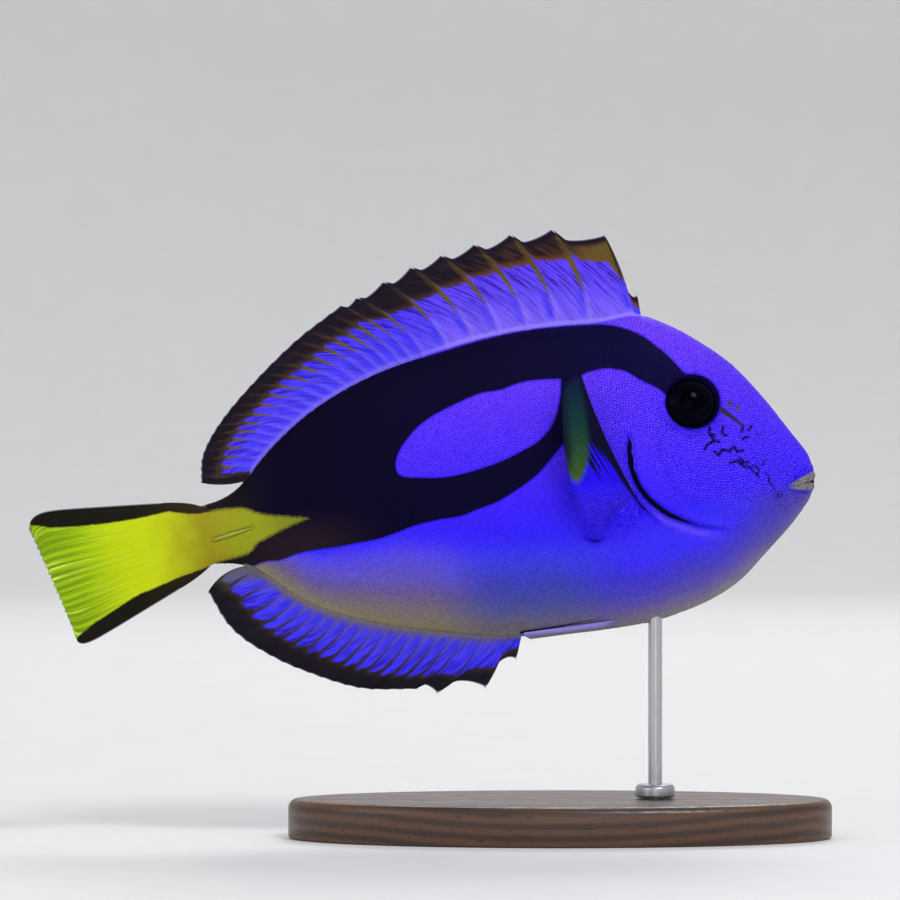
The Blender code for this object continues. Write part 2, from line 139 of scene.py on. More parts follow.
# Distance in from a smooth closed outline: positive inside, negative outside
def outlineField(back, up, points):
    outline = smoothLine(points, 3)
    closed = np.vstack([outline, outline[:1]])
    inside = np.zeros(back.shape, bool)
    for first, second in zip(closed[:-1], closed[1:]):
        crosses = (first[1] > up) != (second[1] > up)
        rise = second[1] - first[1]
        if rise:
            inside ^= crosses & (back < first[0] + (up - first[1]) * (second[0] - first[0]) / rise)
    distance, _, _ = lineField(back, up, closed)
    return np.where(inside, distance, -distance)


# Body: the stations that the solids are made from, as top back, top up, low back, low up and
# half width, and the skin's grid over them
body = {
    "stations": np.array([
        (-0.2, 3.3, 0.1, -2.1, 1.3), (1, 6.6, 1.8, -5, 2.9), (4.3, 11.7, 5.9, -9.7, 4.5),
        (9.8, 20, 12, -15.4, 6.4), (16.1, 27.9, 18.5, -21.2, 8.1), (23, 33.8, 25.2, -24.9, 9.3),
        (30, 38.4, 32, -27.2, 10), (36.8, 41.1, 39.5, -28.9, 10.4), (46, 40.4, 49, -29.7, 10.7),
        (56, 40.5, 59, -30, 10.6), (66, 40, 69, -29.6, 10.1), (76, 38.6, 79, -28.5, 9.4),
        (86, 36.4, 88.5, -26.8, 8.4), (96, 33.8, 98, -24.8, 7.3), (105, 30.3, 106.5, -22.3, 6.2),
        (113, 26.1, 114, -19.3, 5.2), (120, 21, 120, -15.8, 4.3), (125.5, 15.9, 124.6, -11.9, 3.7),
        (129.5, 11.2, 129, -8.4, 3.3), (134, 8.2, 133.6, -7, 3), (138.9, 6.9, 137.8, -6.7, 2.6),
    ]),
    "widestLevel": 0.12, "edgePower": 0.6, "coatDepth": 0.12,
    "ringSpacing": ((0, 0.32), (44, 0.36), (52, 0.8), (118, 0.8), (126, 0.45), (140, 0.45)),
    "ringPoints": 352, "flankCrowding": -0.16, "halvings": 26, "throatUp": -0.2,
    "throat": ((0.93, -0.12), (0.8, 0), (0.62, 0.8), (0.4, 1.9), (0.15, 2.4)),
}

# Features of the head and stalk that both the relief and the markings follow
features = {
    "eye": (26.2, 20.2), "mouth": (0.4, -0.1), "mouthCorner": (4.2, -0.9), "ripples": (50.8, 11.2),
    "armpit": (51.2, 1.5, 9), "cheek": (24, 5), "arm": (44.6, -5.4), "lipArea": (0.5, -0.1, 4.6, 3.1),
    "nostrils": ((17.9, 19.1, 0.4), (16.1, 18, 0.36)),
    "gillEdge": (
        (40.6, 25), (41.2, 19), (41.3, 14.4), (41.4, 12), (41.5, 10.2), (41.5, 7.5), (41.2, 5.6),
        (40.7, 3.6), (39.8, 1.6), (38.5, -0.4), (36.6, -2.5), (34, -4.7), (31.2, -6.2), (28.4, -7.5),
        (25.6, -8.4), (21, -9.2), (16.6, -9.8), (12, -11),
    ),
    "cheekEdge": ((33.8, 14), (33.2, 7), (30.3, 1), (25, -3.2), (17, -5.2)),
    "eyeStreak": ((20.4, 18.1), (18.2, 16.5), (16.6, 14.9), (15.1, 13.4)),
    "jawCrease": ((6, -1), (8, -2.4), (8.9, -4.8)),
    "armpitCrease": ((49.6, -9), (51.8, -8.9), (54.2, -8.5)),
    "finCrease": ((41.4, 0.2), (40.3, -1.9), (39, -3.4), (37.6, -4.9), (36.4, -6.4)),
    "armCrease": ((53.4, -8.1), (52.2, -8.9), (50.6, -9.2), (49.2, -8.9)),
    "pelvicCrease": ((49, -26.5), (56, -27.4), (62.9, -28.2), (69.6, -28.6)),
    "bladeGroove": ((128.2, 0.8), (137.2, -1.2)),
}


def nearFeature(name, back, up):
    return lineField(back, up, smoothLine(features[name]))


def ringGeometry(station):
    return np.moveaxis(along(body["stations"], station), -1, 0)


# Half the width at a level from -1 on the lower edge to 1 on the upper one
def widthAt(level, halfWidth):
    widest = body["widestLevel"]
    reach = np.where(level > widest, (level - widest) / (1 - widest), (widest - level) / (1 + widest))
    return halfWidth * np.maximum(0, 1 - reach ** 2) ** body["edgePower"]


def bodySurface(station, turn):
    topBack, topUp, lowBack, lowUp, halfWidth = ringGeometry(station)
    level = np.sin(turn)
    share = 0.5 * (1 + level)
    out = np.sign(np.cos(turn)) * widthAt(level, halfWidth)
    return np.stack([mix(lowBack, topBack, share), mix(lowUp, topUp, share), out], axis=-1)


# Unit directions on the body: towards the tail, round it, and straight out of it
def bodyDirections(station, turn, step=0.004):
    rear = bodySurface(station + step, turn) - bodySurface(station - step, turn)
    around = bodySurface(station, turn + step) - bodySurface(station, turn - step)
    outward = np.cross(rear, around)
    topBack, topUp, lowBack, lowUp, _ = ringGeometry(station)
    middle = np.stack([0.5 * (topBack + lowBack), 0.5 * (topUp + lowUp), np.zeros_like(topBack)], axis=-1)
    inward = np.sum(outward * (bodySurface(station, turn) - middle), axis=-1, keepdims=True) < 0
    outward = unit(np.where(inward, -outward, outward))
    rear = unit(rear)
    return rear, np.cross(outward, rear), outward


stationTable = np.linspace(0, len(body["stations"]) - 1, 4001)
edgeTable = along(body["stations"], stationTable)


# Height of the body's top or bottom edge at distances behind the snout
def edgeUp(back, top):
    column = 0 if top else 2
    return np.interp(back, edgeTable[:, column], edgeTable[:, column + 1])


# Stations a given distance apart, by the mean of the steps along the top, middle and bottom
def spacedStations(spacing):
    top, low = edgeTable[:, 0:2], edgeTable[:, 2:4]
    middle = 0.5 * (top + low)
    steps = sum(stepLengths(line) for line in (top, low, middle)) / 3
    reached = runningSum(steps / readOff(spacing, middle[1:, 0]))
    return np.interp(np.linspace(0, reached[-1], int(round(reached[-1])) + 1), reached, stationTable)


# Half the width at spots on the flank, by halving the range of stations that can hold each spot
def flankOut(back, up):
    low = np.zeros(back.shape)
    high = np.full(back.shape, len(body["stations"]) - 1.0)
    for _ in range(body["halvings"]):
        middle = 0.5 * (low + high)
        topBack, topUp, lowBack, lowUp, halfWidth = ringGeometry(middle)
        share = (up - lowUp) / (topUp - lowUp)
        ahead = mix(lowBack, topBack, share) < back
        low = np.where(ahead, middle, low)
        high = np.where(ahead, high, middle)
    return widthAt(np.clip(2 * share - 1, -1, 1), halfWidth)


# The flank's point at a spot, with the unit directions towards the snout, up and out
def flankFrame(spot, side):
    def on(back, up):
        return np.array([back, up, side * float(flankOut(np.array([back]), np.array([up]))[0])])

    middle = on(*spot)
    ahead = unit(on(spot[0] - 1, spot[1]) - middle)
    rise = unit(on(spot[0], spot[1] + 1) - middle)
    outward = unit(np.cross(rise, ahead) * side)
    outward *= np.sign(outward[2]) * side
    rise = np.cross(outward, ahead)
    return middle, (ahead, rise * np.sign(rise[1]), outward)


# Height and width of each swelling and furrow in millimetres (for the eye's socket its depth, where
# it starts and where it is full), and the spans that they come and go over
sculpt = {
    "gillRim": (0.3, 2.6), "gillBehind": (0.16, 2.2), "gillSlit": (0.75, 0.6),
    "gillShare": (0.15, 0.3, 0.6, 0.95), "cheekRim": (0.13, 1.3), "cheekHollow": (0.1, 1.2),
    "hollowGap": 1.8, "cheekSwell": (0.3, 9), "socket": (0.6, 6.8, 5.6), "socketHole": (1.9, 5.55, 4.9),
    "eyeRim": (0.2, 0.7), "eyeRimReach": 7.1, "nostrilRim": (0.16, 0.24), "nostrilPit": 0.45,
    "mouthPleats": (0.035, 7.4), "pleatReach": (2.6, 3.4, 5.4, 7.2), "armSwell": (0.55, 4.6, 3.2),
    "eyeStreak": (0.12, 0.4), "jawCrease": (0.16, 0.35), "armpitCrease": (0.28, 0.4),
    "finCrease": (0.24, 0.35), "ripples": (0.05, 8.6), "rippleReach": (9, 11, 18, 22),
    "rippleBack": (34, 38.5, 52, 55), "groove": (0.26, 0.55), "grooveRim": (0.1, 0.4), "grooveGap": 1.1,
}


def raised(name, distance):
    height, width = sculpt[name]
    return height * bell(distance, width)


def sunken(name, distance):
    depth, start, full = sculpt[name]
    return depth * smooth(start, full, distance)


# Height of the sculpted relief over the plain body, square to it
def relief(back, up, facing):
    distance, share, side = nearFeature("gillEdge", back, up)
    shapes = (sculpt["gillRim"], sculpt["gillBehind"])
    ahead, behind = (height * np.exp(-distance / width) for height, width in shapes)
    lift = np.where(side < 0, ahead, -behind)
    lift = (lift - raised("gillSlit", distance)) * between(share, *sculpt["gillShare"])
    distance, share, side = nearFeature("cheekEdge", back, up)
    lift += raised("cheekRim", distance) * smooth(0, 0.2, share)
    lift -= raised("cheekHollow", distance - sculpt["hollowGap"]) * (side > 0)
    cheekBack, cheekUp = features["cheek"]
    lift += raised("cheekSwell", np.hypot(back - cheekBack, (up - cheekUp) * 1.2))
    eyeReach = toSpot(features["eye"], back, up)
    lift -= sunken("socket", eyeReach) + sunken("socketHole", eyeReach)
    lift += raised("eyeRim", eyeReach - sculpt["eyeRimReach"])
    for nostril in features["nostrils"]:
        reach, radius = toSpot(nostril, back, up), nostril[2]
        lift += raised("nostrilRim", reach - 1.6 * radius)
        lift -= sculpt["nostrilPit"] * bell(reach, radius)
    for name in ("eyeStreak", "jawCrease", "armpitCrease"):
        lift -= raised(name, nearFeature(name, back, up)[0])
    corner = toSpot(features["mouthCorner"], back, up)
    height, rate = sculpt["mouthPleats"]
    lift += height * np.sin(corner * rate) * between(corner, *sculpt["pleatReach"])
    armBack, armUp = features["arm"]
    height, length, depth = sculpt["armSwell"]
    lift += height * bell(back - armBack, length) * bell(up - armUp, depth)
    distance, share, _ = nearFeature("finCrease", back, up)
    lift -= raised("finCrease", distance) * smooth(1, 0.6, share)
    folds = toSpot(features["ripples"], back, up)
    folded = between(folds, *sculpt["rippleReach"]) * between(back, *sculpt["rippleBack"])
    folded *= smooth(0, -3, up)
    height, rate = sculpt["ripples"]
    lift += height * np.sin(folds * rate + 0.5 * np.sin(back * 1.9)) * folded
    distance, _, _ = nearFeature("bladeGroove", back, up)
    lift += raised("grooveRim", distance - sculpt["grooveGap"]) - raised("groove", distance)
    return lift * smooth(0.2, 0.6, facing)


# Points on the sculpted skin, under the coat, and the directions there
def skinSurface(station, turn):
    points = bodySurface(station, turn)
    directions = bodyDirections(station, turn)
    lift = relief(points[..., 0], points[..., 1], np.abs(directions[2][..., 2])) - body["coatDepth"]
    return points + directions[2] * lift[..., None], directions


# The black palette shape: from the eye along the back to the tail, round the blue oval
palette = {
    "outline": (
        (26, 19), (26.6, 25.4), (28.1, 27.5), (30.5, 30.7), (33.2, 33.5), (36.4, 36.3), (40.8, 38.5),
        (45.3, 39.6), (54.4, 40), (63.6, 39.7), (72.9, 38.5), (82.2, 36.6), (91.5, 34.7), (101, 31.7),
        (110.6, 27.3), (120.3, 20.4), (125.3, 16.2), (131.1, 13.4), (142, 14), (186, 17),
        (186, -33), (150, -24), (135.5, -11.5), (127, -7.3), (122.8, -7.1), (118.2, -5.9),
        (113.5, -5.4), (108.9, -5.2), (104.3, -4.7), (99.7, -4.2), (95, -3), (91.5, -2), (85.7, -1.1),
        (81, -0.8), (76.3, 0.6), (71.6, 2), (64.4, 5.9), (60.7, 9), (56.9, 12.9), (54, 15.8),
        (51.9, 19), (51.2, 23.5), (51.4, 27.6), (49.7, 28.9), (46.2, 29.5), (43.9, 29.4), (40.6, 28.4),
        (37.4, 26.1), (34.1, 24.2), (31.6, 21.8),
    ),
    "oval": (
        (55.4, 28.1), (60.1, 28.4), (64.7, 28.1), (69.3, 26.9), (74, 26.5), (78.7, 25), (83.4, 23.2),
        (88.2, 20.7), (91.2, 17.9), (93.3, 15.4), (94.5, 12.7), (94.4, 10.5), (93.1, 9.2), (89.3, 8.6),
        (84.8, 8.2), (80.2, 8.5), (75.5, 9.4), (70.8, 10.6), (66.1, 12.4), (62.5, 14), (60.1, 15.8),
        (58.3, 17.9), (56.9, 20.8), (55.8, 24.6),
    ),
    "tail": (
        (115.4, 1.8), (121.9, 2.9), (126, 3.7), (128.6, 4.9), (130.9, 5.5), (135.4, 5.5), (138.9, 5.1),
        (142.3, 5.2), (146.8, 6.1), (151.5, 5.5), (158.4, 4.9), (166, 4.7), (173, 4.9), (180.5, 5.2),
        (187, -8), (174, -23.6), (169.6, -20.2), (166.4, -17.9), (162.9, -15.9), (159.2, -14),
        (155.3, -12), (150.6, -10.5), (145.9, -8.9), (140, -7.4), (136, -6.1), (131.8, -5.4),
        (129, -4.5), (127.5, -2.8), (124.6, -1.5), (119.9, 0.4),
    ),
    "eyePatch": 6.25,
}

# Small dark marks between the eye and the mouth, each a short crooked stroke
faceStrokes = {
    "halfWidth": 0.31,
    "lines": (
        ((22.9, 14.2), (23.2, 12.7), (22.2, 11), (23.9, 10.2), (24.5, 9.3)), ((23.2, 12.7), (21.9, 12.1)),
        ((22.2, 11), (21.1, 10.6)), ((19.9, 14), (20.3, 12.4), (19.4, 11.9)),
        ((22.5, 8.5), (21.4, 7.7), (20.6, 8.8), (19.1, 8.2), (17.8, 9.2), (17.3, 8), (15.9, 8.1)),
        ((16.7, 6.6), (16.1, 5.4), (14.7, 5.5)), ((19.1, 5.6), (17.2, 5.9), (16, 4.4)),
        ((15.7, 4.6), (14.4, 4.1), (13.6, 2.8), (12.8, 1.9)), ((13.9, 4.7), (12.6, 3.7), (13, 2.3)),
        ((11.1, 2.5), (10.3, 1.4), (10.7, 0.7), (10, -0.2), (9.4, -1.3)),
        ((8.6, -1.9), (8.9, -3.3), (7.8, -2.6)), ((14.4, 11.2), (15.6, 10.8)), ((13.3, 13.6), (14.1, 12.5)),
        ((11.1, 5.4), (11.8, 4.5)), ((15.3, 13.8), (15.7, 12.4)), ((12.3, 11.7), (12, 11.4)),
    ),
}

# Gill slit, painted dark as the shade in its opening: half its width, and the shares of its edge where it
# shows, opens, has a painted highlight on its rim and a painted highlight on the swell behind it
gill = {
    "halfOpen": 0.66, "shown": (0.15, 0.2, 0.76, 0.9), "open": (0.185, 0.26, 0.56, 0.78),
    "wave": 0.28, "waves": 88, "rimSpan": (0.19, 0.36), "rimHalf": 0.12, "swell": (0.42, 0.56, 0.72, 0.84),
    "mouthGap": 1.3, "rippleReach": (8.5, 11, 18, 22), "rippleBack": (33, 37, 52.5, 55),
}

# Half width of the creases, painted dark as the shade in them, by the share of their length
creases = {
    "finCrease": lambda share: 0.34 * smooth(1, 0.3, share) - 0.04,
    "pelvicCrease": lambda share: 0.3 * smooth(0, 0.9, share),
    "armCrease": lambda share: 0.36 * np.sin(math.pi * share) - 0.08,
}


# Markings as distances in millimetres, positive inside each mark, for skin, coat and fins alike; some are
# painted shade and painted highlight round the gill slit, creases, mouth and nostrils
def markings(points):
    back, up = points[..., 0], points[..., 1]
    bellyHeight = up - edgeUp(back, False)
    eyeReach = toSpot(features["eye"], back, up)
    band = np.minimum(outlineField(back, up, palette["outline"]), -outlineField(back, up, palette["oval"]))
    # The slit field covers the gill opening, the creases and the mouth gap, all painted dark as the shade in
    # them
    distance, share, side = nearFeature("gillEdge", back, up)
    onHead = side < 0
    openness = gill["halfOpen"] * between(share, *gill["open"])
    wavy = gill["wave"] * np.sin(share * gill["waves"]) * smooth(0.45, 0.3, share) * onHead
    shut = 1 - between(share, *gill["shown"])
    slit = openness * (1 + wavy) - 0.08 - distance - 1.2 * shut
    rimStart, rimEnd = gill["rimSpan"]
    # A thin painted highlight along the gill cover's rim on the head side of the slit
    gillRim = gill["rimHalf"] - np.abs(slit + gill["rimHalf"])
    gillRim = np.where(onHead & (share > rimStart) & (share < rimEnd), gillRim, -1)
    # A painted highlight on the raised body edge behind the lower slit
    gillSwellHighlight = between(share, *gill["swell"]) * bell(distance - 1.5, 0.8) * (~onHead)
    for name, halfWidth in creases.items():
        crease, reached, _ = nearFeature(name, back, up)
        slit = np.maximum(slit, halfWidth(reached) - crease)
    slit = np.maximum(slit, gill["mouthGap"] - toSpot(features["mouth"], back, up))
    plainCheek = np.where(onHead & (up < 15) & (back > 22), 0.15 + 0.85 * smooth(2, 9, distance), 1)
    strong = smooth(62, 44, back) * smooth(-11, 1, up) * plainCheek
    grain = mix(0.4 * smooth(4, 12, up) + 0.3, 1, strong)
    rippled = between(toSpot(features["ripples"], back, up), *gill["rippleReach"])
    rippled *= between(back, *gill["rippleBack"]) * smooth(3, -1, up) * (~onHead)
    streak, reached, _ = nearFeature("eyeStreak", back, up)
    nostrils = [nostril[2] - toSpot(nostril, back, up) for nostril in features["nostrils"]]
    strokes = np.full(back.shape, -3.0)
    onFace = (back < 28) & (up < 16) & (up > -6)
    width = faceStrokes["halfWidth"] * (0.6 + 0.4 * smooth(10, 17, back[onFace]))
    for line in faceStrokes["lines"]:
        distance, _, _ = lineField(back[onFace], up[onFace], np.array(line))
        strokes[onFace] = np.maximum(strokes[onFace], width - distance)
    return {
        "bellyHeight": bellyHeight,
        "eyeReach": eyeReach,
        "bandEdge": np.maximum(band, palette["eyePatch"] - eyeReach),
        "tailEdge": outlineField(back, up, palette["tail"]),
        "slitShadeEdge": slit,
        # A halo of painted shade round the slits and creases, above the belly
        "slitShadeHalo": np.where(up > -20, slit, -3),
        "gillRimHighlight": gillRim,
        "gillSwellHighlight": gillSwellHighlight,
        "grain": np.clip(grain, 0, 1) * smooth(0, 2.5, bellyHeight),
        "rippled": rippled,
        "oliveEdge": 0.66 - 0.45 * reached - streak,
        "nostrilEdge": np.max(nostrils, axis=0),
        "strokeEdge": strokes,
    }


def addObject(name, data):
    made = bpy.data.objects.new(name, data)
    bpy.context.scene.collection.objects.link(made)
    return made


def addMesh(name, points, faces, material):
    mesh = bpy.data.meshes.new(name)
    mesh.from_pydata(points.reshape(-1, 3).tolist(), [], faces.tolist())
    mesh.materials.append(material)
    mesh.shade_smooth()
    return mesh


def addPiece(name, points, faces, uv, material, attributes, replaced=()):
    mesh = addMesh(name, points, faces, material)
    for label, values in attributes.items():
        vector = values.shape[-1] == 3 and values.size == points.size
        layer = mesh.attributes.new(label, "FLOAT_VECTOR" if vector else "FLOAT", "POINT")
        values = np.ascontiguousarray(values, np.float32).ravel()
        layer.data.foreach_set("vector" if vector else "value", values)
    layer = mesh.uv_layers.new(name="OFBake")
    layer.data.foreach_set("uv", np.ascontiguousarray(uv, np.float32).ravel())
    piece = addObject(name, mesh)
    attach(piece, "root")
    if replaced:
        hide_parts(*replaced)
    return piece


# Faces of a grid of points; uv follows the grid
def gridFaces(columns, rows, wrap=False):
    spans = columns if wrap else columns - 1
    first, second = np.meshgrid(np.arange(spans), np.arange(rows - 1), indexing="ij")
    corners = ((0, 0), (0, 1), (1, 1), (1, 0))
    faces = np.stack([(first + right) % columns * rows + second + down for right, down in corners], -1)
    uv = np.stack([np.stack([first + right, second + down], -1) for right, down in corners], axis=2)
    uv = uv / np.array([spans, rows - 1], float)
    return faces.reshape(-1, 4), uv.reshape(-1, 4, 2)


# The same faces, turned round if they enclose a negative volume
def facingOut(points, faces, uv):
    flat = points.reshape(-1, 3)
    first, second, third, fourth = (flat[faces[:, number]] for number in range(4))
    volume = np.einsum("ij,ij->", first, np.cross(second, third) + np.cross(third, fourth))
    return (faces[:, ::-1], uv[:, ::-1]) if volume < 0 else (faces, uv)


def roundGrid(count, values):
    return np.meshgrid(np.linspace(0, 2 * math.pi, count, endpoint=False), values, indexing="ij")


# A closed piece from a grid of points that runs round on itself
def roundPiece(name, world, material, fields, replaced):
    faces, uv = facingOut(world, *gridFaces(*world.shape[:2], wrap=True))
    return addPiece(name, world, faces, uv, material, fields, replaced)


# The same piece on each flank: amounts say how far its points lie ahead, up and out from a spot
def flankPieces(name, replaced, spot, tilt, amounts, material, fields):
    for label, side in sides:
        points, (ahead, rise, outward) = flankFrame(spot, side)
        lean = ahead * math.cos(tilt) - rise * math.sin(tilt)
        for direction, amount in zip((lean, rise, outward), amounts):
            points = points + direction * amount[..., None]
        roundPiece(f"{name}_{label}", place(points), material, fields, (f"{replaced}_{label}",))


# Colours stand as red, green and blue from 0 to 255; a socket or a four-part colour is left as it is
def linear(colour):
    if not isinstance(colour, tuple) or len(colour) != 3:
        return colour
    parts = [part / 255 for part in colour]
    return (*(part / 12.92 if part <= 0.04045 else ((part + 0.055) / 1.055) ** 2.4 for part in parts), 1)


# The shader helpers add to the tree that newMaterial or newGroup opened last
desk = {"tree": None}


def join(value, socket):
    if isinstance(value, bpy.types.NodeSocket):
        desk["tree"].links.new(value, socket)
    else:
        socket.default_value = value


def addNode(kind, inputs, **settings):
    made = desk["tree"].nodes.new(kind)
    for name, value in settings.items():
        setattr(made, name, value)
    for key, value in inputs.items():
        join(value, made.inputs[key])
    return made.outputs


def calc(operation, first, second=0, clamp=False):
    return addNode("ShaderNodeMath", {0: first, 1: second}, operation=operation, use_clamp=clamp)[0]


def plus(first, second):
    return calc("ADD", first, second)


def less(first, second):
    return calc("SUBTRACT", first, second)


def times(first, *others):
    for other in others:
        first = calc("MULTIPLY", first, other)
    return first


def ease(value, low, high, toLow=0, toHigh=1):
    sockets = {"Value": value, "From Min": low, "From Max": high, "To Min": toLow, "To Max": toHigh}
    return addNode("ShaderNodeMapRange", sockets, interpolation_type="SMOOTHSTEP")[0]


def blend(mask, under, over, mode="MIX"):
    sockets = {0: mask, 6: linear(under), 7: linear(over)}
    return addNode("ShaderNodeMix", sockets, data_type="RGBA", blend_type=mode)[2]


# Paint over paint: each layer is a mask and a colour, with a blend mode where it isn't MIX
def layered(colour, *layers):
    for mask, *over in layers:
        colour = blend(mask, colour, *over)
    return colour


# Colours that follow each other along a value, each with where it starts and where it is full
def graded(value, colour, *steps):
    return layered(colour, *((ease(value, start, full), tone) for start, full, tone in steps))


def field(name):
    return addNode("ShaderNodeAttribute", {}, attribute_name=name)["Fac"]


def vectorField(name):
    return addNode("ShaderNodeAttribute", {}, attribute_name=name)["Vector"]


def split(vector):
    return addNode("ShaderNodeSeparateXYZ", {0: vector})


def noise(vector, scale, detail=2, roughness=0.5):
    sockets = {"Vector": vector, "Scale": scale, "Detail": detail, "Roughness": roughness}
    return addNode("ShaderNodeTexNoise", sockets)[0]


# Noise that swings by half the amount to either side of zero
def wander(vector, scale, detail, amount):
    return times(less(noise(vector, scale, detail), 0.5), amount)


def stretched(vector, scale):
    return addNode("ShaderNodeVectorMath", {0: vector, 1: scale}, operation="MULTIPLY")[0]


def distanceTo(vector, spot):
    return addNode("ShaderNodeVectorMath", {0: vector, 1: spot}, operation="DISTANCE")["Value"]


def ramp(value, stops):
    colour = addNode("ShaderNodeValToRGB", {0: value})[0]
    elements = colour.node.color_ramp.elements
    while len(elements) < len(stops):
        elements.new(0.5)
    for element, (spot, tone) in zip(elements, stops):
        element.position = spot
        element.color = linear(tone)
    return colour


def newGroup(name, inputs, outputs):
    tree = bpy.data.node_groups.new(name, "ShaderNodeTree")
    for label, value in inputs.items():
        kind = "NodeSocketVector" if isinstance(value, tuple) else "NodeSocketFloat"
        tree.interface.new_socket(label, in_out="INPUT", socket_type=kind).default_value = value
    for label, kind in outputs.items():
        tree.interface.new_socket(label, in_out="OUTPUT", socket_type=f"NodeSocket{kind}")
    desk["tree"] = tree
    return tree.nodes.new("NodeGroupInput").outputs, tree.nodes.new("NodeGroupOutput").inputs


def useGroup(name, inputs):
    return addNode("ShaderNodeGroup", inputs, node_tree=bpy.data.node_groups[name])


# A material with its roughness, specular level and tint, and values for any other sockets
def newMaterial(name, roughness=0.5, specular=0.5, tint=(1, 1, 1), others=()):
    material = bpy.data.materials.new(name)
    material.use_nodes = True
    desk["tree"] = material.node_tree
    shader = material.node_tree.nodes["Principled BSDF"].inputs
    shader["Roughness"].default_value = roughness
    shader["Specular IOR Level"].default_value = specular
    shader["Specular Tint"].default_value = (*tint, 1)
    for key, value in others:
        shader[key].default_value = value
    return material, shader


# The last links of a material: its colour, and a bump whose depth is in millimetres
def dress(material, shader, colour, height, strength, depth):
    join(linear(colour), shader["Base Color"])
    bump = addNode("ShaderNodeBump", {"Height": height, "Strength": strength, "Distance": depth * mm})
    join(bump[0], shader["Normal"])
    return material


# Group: a mask from a distance field, its edge frayed by noise
def makeFrayedEdge():
    inputs = {"Edge": 0, "Place": (0, 0, 0), "Softness": 0.1, "Fray": 0.1, "Scale": 1}
    given, result = newGroup("frayedEdge", inputs, {"Mask": "Float"})
    edge = plus(given["Edge"], wander(given["Place"], given["Scale"], 2, given["Fray"]))
    join(calc("ADD", calc("DIVIDE", edge, given["Softness"]), 0.5, clamp=True), result["Mask"])


def frayed(name, spot, softness, fray, scale=1.2):
    sockets = {"Edge": field(name), "Place": spot, "Softness": softness, "Fray": fray, "Scale": scale}
    return useGroup("frayedEdge", sockets)["Mask"]


# Group: the small pits and beads of the hide, as height, and as a mask of the gaps between them
def makeBeadedHide():
    inputs = {"Place": (0, 0, 0), "Spacing": 0.5, "Wrinkle": 0.3}
    given, result = newGroup("beadedHide", inputs, {"Height": "Float", "Gaps": "Float"})
    sockets = {"Vector": given["Place"], "Scale": calc("DIVIDE", 1, given["Spacing"])}
    bead = ease(addNode("ShaderNodeTexVoronoi", sockets, feature="DISTANCE_TO_EDGE")[0], 0, 0.35)
    fold = times(noise(given["Place"], 0.35, 3), given["Wrinkle"])
    join(plus(bead, fold), result["Height"])
    join(less(1, bead), result["Gaps"])


# Group: fine streaks that run with the rays, as a mask and a height
def makeRayStreaks():
    inputs = {"Place": (0, 0, 0), "Across": 2, "Along": 0.15, "Low": 0.45, "High": 0.65}
    given, result = newGroup("rayStreaks", inputs, {"Mask": "Float", "Height": "Float"})
    scale = addNode("ShaderNodeCombineXYZ", {0: given["Across"], 1: given["Along"], 2: 1})[0]
    lines = noise(stretched(given["Place"], scale), 1, 3, 0.55)
    join(ease(lines, given["Low"], given["High"]), result["Mask"])
    join(lines, result["Height"])


def streaked(spot, across, lengthwise, low, high):
    sockets = {"Place": spot, "Across": across, "Along": lengthwise, "Low": low, "High": high}
    return useGroup("rayStreaks", sockets)


# Colours of the hide; two numbers before one say where along the body it starts and where it is full
hide = {
    # flank is painted lighter towards the top, as light falling from above
    "flank": [(0, (46, 32, 250)), (0.11, (57, 31, 250)), (0.33, (70, 38, 250)), (0.6, (94, 50, 250)),
              (0.87, (120, 66, 250)), (1, (128, 80, 250))],
    "frontBelly": [(0, (150, 145, 138)), (0.1, (126, 118, 150)), (0.2, (97, 88, 172)),
                   (0.32, (76, 68, 190)), (0.45, (61, 56, 213)), (0.6, (56, 47, 246))],
    "midBelly": [(0, (140, 132, 126)), (0.1, (120, 115, 116)), (0.2, (98, 101, 140)), (0.34, (73, 83, 158)),
                 (0.5, (61, 70, 180)), (0.62, (58, 66, 206)), (0.75, (57, 61, 230)), (1, (53, 50, 246))],
    "rearBelly": [(0, (152, 143, 100)), (0.12, (139, 130, 102)), (0.24, (123, 112, 119)),
                  (0.36, (109, 96, 147)), (0.5, (101, 89, 184)), (0.66, (90, 80, 217)),
                  (0.85, (74, 63, 242)), (1, (64, 52, 247))],
    "dot": (0.26, 0.14, 0.8, 1), "net": (154, 112, 255), "deep": (30, 4, 222), "jaw": (64, 58, 168),
    # slit is painted shade in the gill slit, creases and mouth gap, nostrilPit painted shade in the nostril
    # pits, and gillRim a painted highlight on the gill cover's rim
    "nostril": (92, 86, 106), "nostrilPit": (26, 22, 40), "slit": (3, 5, 34), "gillRim": (104, 88, 242),
    "olive": (50, 46, 36), "stroke": (4, 3, 62), "halo": (34, 8, 208),
    "band": (6, 4, 48), "bandMid": (34, 80, (6, 4, 30)), "bandRear": (85, 116, (6, 4, 21)),
    "bandLow": (36, 24, 26), "bandTail": (120, 136, (24, 20, 13)), "stalkTip": (112, 122, 26),
    "stalk": (114, 127, (154, 160, 22)), "tailWarm": (130, 138, (160, 152, 22)),
    "tailBright": (138.5, 153, (198, 214, 18)), "blotch": (0.16, 3, 9),
    "finish": (0.5, 0.16, (0.25, 0.2, 0.85)),
}


# Wavy arcs round the root of the pectoral fin, the furrows of the folds painted dark as their shade
def rippleFurrowShade(spot):
    reach = distanceTo(stretched(spot, (1, 1, 0)), (*features["ripples"], 0))
    reach = plus(reach, times(noise(spot, 0.6, 3), 3))
    return ease(calc("SINE", times(reach, 9.4)), -0.4, 0.9)
